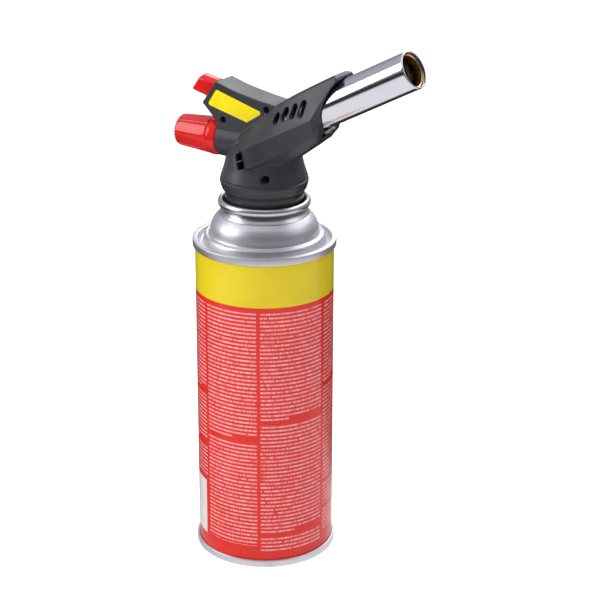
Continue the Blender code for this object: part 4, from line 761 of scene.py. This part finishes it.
def housing_inside(made):
    """Hollows the bell, the arm, the box and the bores, and opens the nose below."""
    loop = [(0.0, 181.0), (18.95, 181.0), (18.95, 187.0), (16.9, 188.0), (16.9, 193.0)]
    loop += [(16.2, 198.5), (14.6, 201.2), (11.5, 203.8), (7.5, 205.2), (0.0, 205.6)]
    carve(made, turned(loop, on_can(), 72, False))
    inner = [arm_ring(arm_between(-6.0), 2.4), arm_ring(arm_between(6.0), 2.4),
             arm_ring(ARM[3], 2.5), arm_ring(arm_between(33.0), 2.5)]
    for spot in inner[0]:
        spot.y = max(min(spot.y, 11.0 * MM), -11.0 * MM)
    carve(made, lofted(inner, on_tube()))
    roof = [(-20.6, 229.5)] + [(x, z - 1.8) for x, z in BOX_TOP[1:]]
    outline = roof + [(12.0, 214.0), (4.0, 203.0), (-12.0, 203.0), (-20.4, 210.6)]
    outline += [(-22.9, 216.0), (-27.2, 220.4)]
    carve(made, plate(outline, -5.35, 5.35, side_on()))
    bore = [(0.0, -24.0), (7.3, -24.0), (7.3, -3.0), (0.0, -3.0)]
    carve(made, turned(bore, on_spindle(), 64, False))
    bore = [(0.0, 10.0), (9.35, 10.0), (9.35, 70.0), (0.0, 70.0)]
    carve(made, turned(bore, on_tube(), 96, False))
    nose = [(27.0, -3.0), (27.0, -11.3), (45.0, -11.3), (45.0, -3.0)]
    carve(made, plate(nose, -4.3, 4.3, side_on_tube()))


def housing_posts(made):
    """Posts across the two halves, bored for the screws."""
    for _, x, z, reach, seat, size in SCREWS:
        place = side_on() @ Matrix.Translation((x * MM, z * MM, 0.0))
        post = [(0.0, -reach), (2.7, -reach), (2.7, reach), (0.0, reach)]
        join(made, turned(post, place, 24, False))
        shank = SCREW_SHANK * size + GAP
        head = SCREW_HEAD * size + GAP
        hole = [(0.0, -seat * 0.9), (shank, -seat * 0.9), (shank, seat), (head, seat)]
        hole += [(head, 30.0), (0.0, 30.0)]
        carve(made, turned(hole, place, 24, False))


def shroud_front(made):
    """Cuts the shroud along its front edge, flared outwards on both sides."""
    front = RIM + [(70.0, -14.5), (70.0, 13.5)]
    carve(made, plate(front, -30.0, 30.0, side_on_tube()))
    for side in (1.0, -1.0):
        rings = []
        for width, shift in ((7.2, 2.0), (17.2, -6.5)):
            rings.append([Vector((-p, side * width, s + shift)) * MM for s, p in front])
        carve(made, lofted(rings, on_tube()))


def vents_and_intakes(made):
    for station, height, length in VENTS:
        reach = length / 2.0 - VENT_ROUND
        slot = arc((0.0, reach), VENT_ROUND, 0, 180, 10) + arc((0.0, -reach), VENT_ROUND, 180, 360, 10)
        lean = Matrix.Translation((station * MM, height * MM, 0.0)) @ \
            Matrix.Rotation(-TILT - math.radians(7.0), 4, "Z")
        for low, high in ((5.0, 30.0), (-30.0, -5.0)):
            carve(made, plate(slot, low, high, side_on_tube() @ lean))
    for low, high in ((-2.9, -6.1), (-6.9, -10.3)):
        bay = [(-8.2, low), (0.9, low), (0.9, high), (-8.2, high)]
        for near, far in ((13.4, 19.5), (-19.5, -13.4)):
            carve(made, plate(bay, near, far, side_on_tube()))


def button_and_label_seats(made):
    carve(made, plate(button_outline(BUTTON_GAP), -15.0, 6.3, on_igniter()))
    bed = rounded(LABEL, LABEL_CORNER, 8, GAP)
    for low, high in ((6.65, 8.5), (-8.5, -6.65)):
        carve(made, plate(bed, low, high, side_on()))


def button_outline(grow=0.0):
    """The button's eight-sided section, grown for its opening."""
    half = 4.5 + grow
    side = 3.5 + grow
    peak = 5.0 + grow
    return [(-side, -half), (-peak, -half * 0.35), (-peak, half * 0.35), (-side, half),
            (side, half), (peak, half * 0.35), (peak, -half * 0.35), (side, -half)]


def drop_crumbs(bm):
    """Deletes the loose crumbs that the cuts leave behind, small ones or those off the head."""
    met = set()
    crumbs = []
    for first in bm.verts:
        if first in met:
            continue
        met.add(first)
        waiting = [first]
        island = []
        while waiting:
            vert = waiting.pop()
            island.append(vert)
            for edge in vert.link_edges:
                beyond = edge.other_vert(vert)
                if beyond not in met:
                    met.add(beyond)
                    waiting.append(beyond)
        if len(island) < LEAST_SHELL or island[0].co.y > HEAD_SIDE:
            crumbs += island
    bmesh.ops.delete(bm, geom=crumbs, context="VERTS")


def housing_halves():
    """The two moulded shells, with every edge softly rounded."""
    whole = housing_outside()
    housing_inside(whole)
    housing_posts(whole)
    shroud_front(whole)
    vents_and_intakes(whole)
    button_and_label_seats(whole)
    skin = whole.modifiers.new("soft edges", "REMESH")
    skin.mode = "VOXEL"
    skin.voxel_size = SKIN_VOXEL
    ease = whole.modifiers.new("ease", "SMOOTH")
    ease.factor = 0.5
    ease.iterations = 5
    settle(whole)
    for name, replaced, side in (("shell_near", "housing_near", 1.0),
                                 ("shell_far", "housing_far", -1.0)):
        bm = bmesh.new()
        bm.from_mesh(whole.data)
        cut = bmesh.ops.bisect_plane(bm, geom=bm.verts[:] + bm.edges[:] + bm.faces[:],
                                     dist=0.0001 * MM, plane_co=(0.0, -side * 0.02 * MM, 0.0),
                                     plane_no=(0.0, side, 0.0), clear_outer=True)
        rim = [item for item in cut["geom_cut"] if isinstance(item, bmesh.types.BMEdge)]
        bmesh.ops.holes_fill(bm, edges=rim, sides=0)
        drop_crumbs(bm)
        made = piece(name, bm, LOOKS["grey"], True, 42.0)
        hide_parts(replaced)
        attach(made, "head")
    bpy.data.objects.remove(whole, do_unlink=True)


def labels():
    outline = rounded(LABEL, LABEL_CORNER, 10)
    for name, replaced, low, high in (("plate_near", "label_near", 6.95, 7.25),
                                      ("plate_far", "label_far", -7.25, -6.95)):
        bm = bevelled(plate(outline, low, high, side_on()), 0.1 * MM, 2, 60.0)
        made = piece(name, bm, LOOKS["label"], True)
        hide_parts(replaced)
        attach(made, "head")


def housing_screws():
    """Cross-slotted screws on the near side, one in each post."""
    for name, x, z, _, seat, size in SCREWS:
        place = side_on() @ Matrix.Translation((x * MM, z * MM, 0.0))
        low = GAP - seat * 0.9
        base = seat + GAP
        top = base + 1.1 * size
        shank = SCREW_SHANK * size
        wide = SCREW_HEAD * size
        loop = [(0.0, low), (shank, low), (shank, base), (wide, base), (wide, top - 0.35)]
        loop += [(wide * 0.88, top - 0.12), (wide * 0.6, top), (0.0, top)]
        made = piece("screw_" + name, turned(loop, place, 32, False), LOOKS["dark"])
        for turn in (0.0, math.pi / 2.0):
            arm = wide * 0.62
            cross = [(-arm, -0.2), (arm, -0.2), (arm, 0.2), (-arm, 0.2)]
            spin = place @ Matrix.Rotation(turn + 0.4, 4, "Z")
            carve(made, plate(cross, top - 0.6, top + 0.3, spin))
        tidy_cut(made)
        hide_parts("housing_screw_" + name)
        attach(made, "head")


# ------------------------ burner
def flame_tube():
    loop = [(TUBE_RADIUS, 23.0), (TUBE_RADIUS, 87.4)] + arc((8.25, 87.96), 0.6, 0, 80, 6)
    loop += arc((8.25, 88.36), 0.2, 100, 180, 3) + [(8.05, 23.0)]
    made = piece("flame_tube", turned(loop, on_tube(), 144), LOOKS["chrome"])
    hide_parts("burner_tube")
    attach(made, "head")


def mouth_lining():
    loop = [(7.75, 83.3), (7.75, 87.2), (7.4, 87.4), (7.05, 87.0), (7.05, 83.3)]
    made = piece("mouth_lining", turned(loop, on_tube(), 96), LOOKS["mouth"])
    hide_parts("mouth_ring")
    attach(made, "head")


# the lobes' turn about the tube's axis
STAR_TURN = math.radians(55.0)


def flame_star():
    """The six-lobed holder deep in the mouth, with its middle port."""
    lobes = []
    for step in range(96):
        angle = FULL * step / 96.0
        wave = 0.5 + 0.5 * math.cos(6.0 * angle - STAR_TURN)
        radius = 7.75 * (0.7 + 0.3 * min(1.0, wave * 1.6))
        lobes.append((radius * math.cos(angle), radius * math.sin(angle)))
    made = piece("flame_star", plate(lobes, 77.0, 83.0, on_tube()), LOOKS["heated"])
    port = [(0.0, 76.0), (2.3, 76.0), (2.3, 84.0), (0.0, 84.0)]
    carve(made, turned(port, on_tube(), 32, False))
    tidy_cut(made)
    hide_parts("flame_holder")
    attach(made, "head")


def under_nose():
    """The axis of the clip's screw, down through the tube's own."""
    return on_tube() @ Matrix.Translation((0.0, 0.0, 33.5 * MM)) @ Matrix.Rotation(math.pi / 2.0, 4, "Y")


def nose_clip():
    low = -(TUBE_RADIUS + GAP + 0.9)
    painted_sheet = [(29.0, low), (36.5, low), (36.5, low + 0.9), (29.0, low + 0.9)]
    bm = bevelled(plate(painted_sheet, -3.2, 3.2, side_on_tube()), 0.2 * MM, 2)
    made = piece("nose_clip", bm, LOOKS["zinc"])
    hole = [(0.0, 7.05), (1.2, 7.05), (1.2, 10.35), (0.0, 10.35)]
    carve(made, turned(hole, under_nose(), 32, False))
    tidy_cut(made)
    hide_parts("tube_clamp")
    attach(made, "head")


def nose_screw():
    loop = [(0.0, 9.25), (0.8, 9.25), (0.8, 10.35), (1.9, 10.35), (1.85, 10.7), (1.5, 10.92)]
    loop += [(0.0, 10.95)]
    made = piece("nose_screw", turned(loop, under_nose(), 40, False), LOOKS["zinc"])
    slot = [(-1.4, -0.22), (1.4, -0.22), (1.4, 0.22), (-1.4, 0.22)]
    carve(made, plate(slot, 10.6, 11.3, under_nose()))
    tidy_cut(made)
    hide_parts("clamp_screw")
    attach(made, "head")


# ------------------------ knob and button
KNOB_STEPS = 160
# the knob's outside, as (radius, height, share of the scallops)
KNOB = [(6.2, -46.5, 0.0), (6.9, -46.42, 0.0), (7.35, -46.1, 0.3), (7.6, -45.5, 0.7),
        (7.72, -44.6, 1.0), (8.1, -39.5, 1.0), (8.55, -33.4, 1.0), (8.95, -28.6, 1.0),
        (8.92, -28.15, 0.8), (8.5, -27.85, 0.2), (8.45, -27.5, 0.0), (8.95, -27.25, 0.0),
        (9.06, -26.9, 0.0), (9.1, -26.3, 0.0), (9.05, -25.2, 0.0), (8.85, -23.9, 0.0),
        (8.55, -22.95, 0.0), (8.3, -22.7, 0.0)]
KNOB_BORE = [(2.5, -22.7), (2.5, -36.3)]


def knob_ring(bm, radius, height, share=0.0):
    """A ring round the knob, with eight narrow grooves between faint flats."""
    ring = bmesh.ops.create_circle(bm, segments=KNOB_STEPS, radius=radius * MM)["verts"]
    for vert in ring:
        angle = math.atan2(vert.co.y, vert.co.x)
        wave = abs(math.sin(4.0 * angle + 0.35))
        groove = math.exp(-(wave / 0.09) ** 2) * 0.55
        flat = (1.0 - math.cos(8.0 * angle + 0.7)) * 0.09
        vert.co *= 1.0 - (groove + flat) * share / radius
        vert.co.z = height * MM
    return [e for e in bm.edges if all(v in ring for v in e.verts)]


def gas_knob():
    """A tapered knob with a rounded cap and shallow scallops between flats."""
    bm = bmesh.new()
    loops = [knob_ring(bm, *row) for row in KNOB]
    for one, two in zip(loops, loops[1:]):
        bmesh.ops.bridge_loops(bm, edges=one + two)
    bore = [knob_ring(bm, *row) for row in KNOB_BORE]
    bmesh.ops.bridge_loops(bm, edges=loops[-1] + bore[0])
    bmesh.ops.bridge_loops(bm, edges=bore[0] + bore[1])
    bmesh.ops.holes_fill(bm, edges=loops[0] + bore[1], sides=0)
    bmesh.ops.transform(bm, matrix=on_spindle(), verts=bm.verts)
    made = piece("gas_knob", bm, LOOKS["red"], True, 50.0)
    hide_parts("knob")
    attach(made, "knob")


def spark_button():
    """The push button, its face sloped like the rear of the box."""
    lean = math.tan(REAR_LEAN - IGNITER_TILT)
    bm = plate(button_outline(), -9.9, 1.0, Matrix.Identity(4))
    for vert in bm.verts:
        if vert.co.z < -8.0 * MM:
            vert.co.x *= 0.93
            vert.co.y *= 0.93
            vert.co.z -= vert.co.x * lean
    bevelled(bm, 0.7 * MM, 5, 20.0)
    bmesh.ops.transform(bm, matrix=on_igniter(), verts=bm.verts)
    made = piece("spark_button", bm, LOOKS["red"], True, 50.0)
    neck = [(0.0, 0.5), (3.2, 0.5), (3.2, 6.0), (0.0, 6.0)]
    join(made, turned(neck, on_igniter(), 32, False))
    tidy_cut(made, 45.0)
    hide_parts("igniter_button")
    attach(made, "igniter")


# ------------------------ carried-over nodes
CARRIED = {
    "valve_cup": "tin", "stem_gasket": "rubber", "valve_chamber": "acetal", "valve_stem": "acetal",
    "gas_block": "brass_can", "inlet_nipple": "brass_can", "inlet_filter": "brass_can",
    "inlet_seal": "rubber", "gland_nut": "brass_spindle", "spindle_seal": "rubber",
    "jet_nozzle": "brass_tube", "mixer_tube": "brass_tube", "electrode_sleeve": "ceramic",
    "electrode": "zinc", "valve_spindle": "brass_spindle", "needle": "zinc", "piezo_plunger": "zinc",
    "piezo_body": "black", "ignition_lead": "sleeve", "earth_lead": "sleeve",
}


def spring(name, replaced, body):
    """A merged copy of a CAD spring."""
    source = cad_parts[replaced]
    bm = bmesh.new()
    bm.from_mesh(source.data)
    bmesh.ops.transform(bm, matrix=source.matrix_world, verts=bm.verts)
    made = piece(name, bm, LOOKS["zinc"], True, 60.0)
    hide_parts(replaced)
    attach(made, body)
    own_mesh(made)


def springs():
    spring("button_spring", "igniter_spring", "head")
    spring("valve_spring", "stem_spring", "cartridge")


def dress_carried():
    for name, look in CARRIED.items():
        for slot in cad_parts[name].material_slots:
            slot.material = LOOKS[look]


# ------------------------ studio
# level directions over the floor: away from the camera, to its left, and towards it
AWAY = (-0.53, 0.848)
LEFTWARD = (-0.848, -0.53)
TOWARDS = (0.53, -0.848)


def painted_floor_reflection(tree, place):
    """What metal sees of the floor: a painted pool of light round the torch, with painted shadow behind it
    and to its left.
    """
    parts = split(tree, place)
    behind = along(tree, parts, *AWAY)
    left = along(tree, parts, *LEFTWARD)
    near = ramp(tree, off_axis(tree, parts), 0.95, 0.5)
    # painted shadow of the torch, behind it and to its left
    painted_shadow = times(tree, ramp(tree, left, 0.03, 0.08), ramp(tree, behind, -0.06, -0.02))
    painted_light_pool = times(tree, times(tree, near, ramp(tree, behind, 0.1, 0.04)), 0.82)
    painted_light_pool = times(tree, painted_light_pool, calc(tree, "MULTIPLY_ADD", painted_shadow, -0.85, 1.0))
    far = times(tree, calc(tree, "SUBTRACT", 1.0, near), ramp(tree, behind, 0.3, 0.7))
    return calc(tree, "ADD", calc(tree, "MULTIPLY_ADD", far, 0.4, painted_light_pool), 0.035)


def floor():
    bm = bmesh.new()
    bmesh.ops.create_circle(bm, cap_ends=True, segments=96, radius=7.0)
    bmesh.ops.translate(bm, vec=(0, 0, -0.05 * MM), verts=bm.verts)
    look, tree, shader, where = start_material("pale_floor")
    fill(tree, shader, Base_Color=(0.9, 0.9, 0.9), Roughness=0.9, Specular_IOR_Level=0.1)
    path = node(tree, "ShaderNodeLightPath")
    glow = node(tree, "ShaderNodeEmission")
    fill(tree, glow, Strength=times(tree, path.outputs["Is Camera Ray"], 0.6))
    both = node(tree, "ShaderNodeAddShader")
    tree.links.new(shader.outputs[0], both.inputs[0])
    tree.links.new(glow.outputs[0], both.inputs[1])
    # for glossy rays the floor glows with painted light and painted shadow instead of being lit
    painted_sheet = node(tree, "ShaderNodeEmission")
    fill(tree, painted_sheet, Color=(0.97, 0.94, 1.0), Strength=painted_floor_reflection(tree, where))
    mixed = node(tree, "ShaderNodeMixShader")
    faces = (path.outputs["Is Glossy Ray"], both.outputs[0], painted_sheet.outputs[0])
    for socket, part in zip(mixed.inputs, faces):
        tree.links.new(part, socket)
    tree.links.new(mixed.outputs[0], tree.nodes["Material Output"].inputs["Surface"])
    made = piece("pale_floor", bm, look, False)


# the room that gloss sees, from low to high, with (height, grey level) between
ROOM_LOW = (0.24, 0.24, 0.26, 1.0)
ROOM_HIGH = (0.75, 0.75, 0.78, 1.0)
ROOM_TONES = ((0.3, 0.3), (0.5, 0.45), (0.8, 0.72))


def studio_world():
    """Plain grey for bounced light, a room brighter overhead for gloss, and white for the camera."""
    world = bpy.data.worlds.new("studio")
    bpy.context.scene.world = world
    world.use_nodes = True
    tree = world.node_tree
    path = node(tree, "ShaderNodeLightPath")
    parts = split(tree, node(tree, "ShaderNodeTexCoord").outputs["Object"])
    level = node(tree, "ShaderNodeValToRGB")
    tree.links.new(parts[2], level.inputs[0])
    stops = level.color_ramp.elements
    stops[0].position = 0.0
    stops[0].color = ROOM_LOW
    stops[1].position = 1.0
    stops[1].color = ROOM_HIGH
    for spot, tone in ROOM_TONES:
        made = stops.new(spot)
        made.color = (tone * 0.93, tone * 0.98, tone * 1.12, 1.0)
    shade = times(tree, ramp(tree, along(tree, parts, *TOWARDS), 0.1, 0.7), ramp(tree, parts[2], 0.95, 0.7))
    dimmed = blend_colours(tree, shade, level.outputs[0], (0.14, 0.14, 0.15))
    room = blend_colours(tree, path.outputs["Is Glossy Ray"], (0.3, 0.3, 0.31), dimmed)
    shown = blend_colours(tree, path.outputs["Is Camera Ray"], room, (1.0, 1.0, 1.0))
    fill(tree, tree.nodes["Background"], Color=shown, Strength=1.0)


def softbox(name, bearing, rise, distance, wide, tall, power, mirrored=True):
    """A softbox on a bearing from the camera's own line of sight, in degrees."""
    angle = HEADING - math.pi / 2.0 + math.radians(bearing)
    flat = distance * math.cos(math.radians(rise))
    spot = Vector((flat * math.cos(angle), flat * math.sin(angle),
                   0.15 + distance * math.sin(math.radians(rise))))
    light = bpy.data.lights.new(name, "AREA")
    light.shape = "RECTANGLE"
    light.size = wide
    light.size_y = tall
    light.energy = power
    made = bpy.data.objects.new(name, light)
    made.visible_glossy = mirrored
    bpy.context.scene.collection.objects.link(made)
    aim = Vector((0.0, 0.0, 0.16)) - spot
    made.matrix_world = Matrix.Translation(spot) @ aim.to_track_quat("-Z", "Y").to_matrix().to_4x4()


# the photograph's camera, fitted to its outline
HEADING = math.radians(32.0)
PITCH = math.radians(20.91)
ROLL = 0.003
EYE_HEIGHT = 0.445
EYE_ASIDE = 0.01686
EYE_DISTANCE = 0.834
FOCAL_PIXELS = 1861.9
PHOTO_PIXELS = 600.0
SENSOR = 36.0


def camera():
    right = Vector((math.cos(HEADING), math.sin(HEADING), 0.0))
    level = Vector((-math.sin(HEADING), math.cos(HEADING), 0.0))
    ahead = level * math.cos(PITCH) - Vector((0.0, 0.0, math.sin(PITCH)))
    above = right.cross(ahead)
    side = right * math.cos(ROLL) + above * math.sin(ROLL)
    above = above * math.cos(ROLL) - right * math.sin(ROLL)
    spot = Vector((CAN_X, 0.0, EYE_HEIGHT)) + right * EYE_ASIDE - level * EYE_DISTANCE
    lens = bpy.data.cameras.new("photo_view")
    lens.sensor_width = SENSOR
    lens.lens = SENSOR * FOCAL_PIXELS / PHOTO_PIXELS
    lens.clip_start = 0.01
    made = bpy.data.objects.new("photo_view", lens)
    bpy.context.scene.collection.objects.link(made)
    turn = Matrix((side, above, -ahead)).transposed().to_4x4()
    made.matrix_world = Matrix.Translation(spot) @ turn
    bpy.context.scene.camera = made


camera()
can_wall()
can_foot()
can_dome()
collar()
head_ring()
housing_halves()
labels()
housing_screws()
flame_tube()
mouth_lining()
flame_star()
nose_clip()
nose_screw()
gas_knob()
spark_button()
springs()
dress_carried()
floor()
studio_world()
softbox("left_softbox", -84.0, 23.0, 1.0, 0.45, 0.62, 3.4)
softbox("right_softbox", 92.0, 40.0, 1.0, 0.5, 0.6, 0.8)
softbox("rear_softbox", 154.0, 42.0, 1.2, 1.1, 0.7, 6.5)
softbox("front_fill", -24.0, 34.0, 1.4, 1.2, 1.0, 7.6, False)
softbox("top_fill", 0.0, 82.0, 1.2, 1.0, 1.0, 5.0, False)
bpy.context.scene.view_settings.view_transform = "Standard"
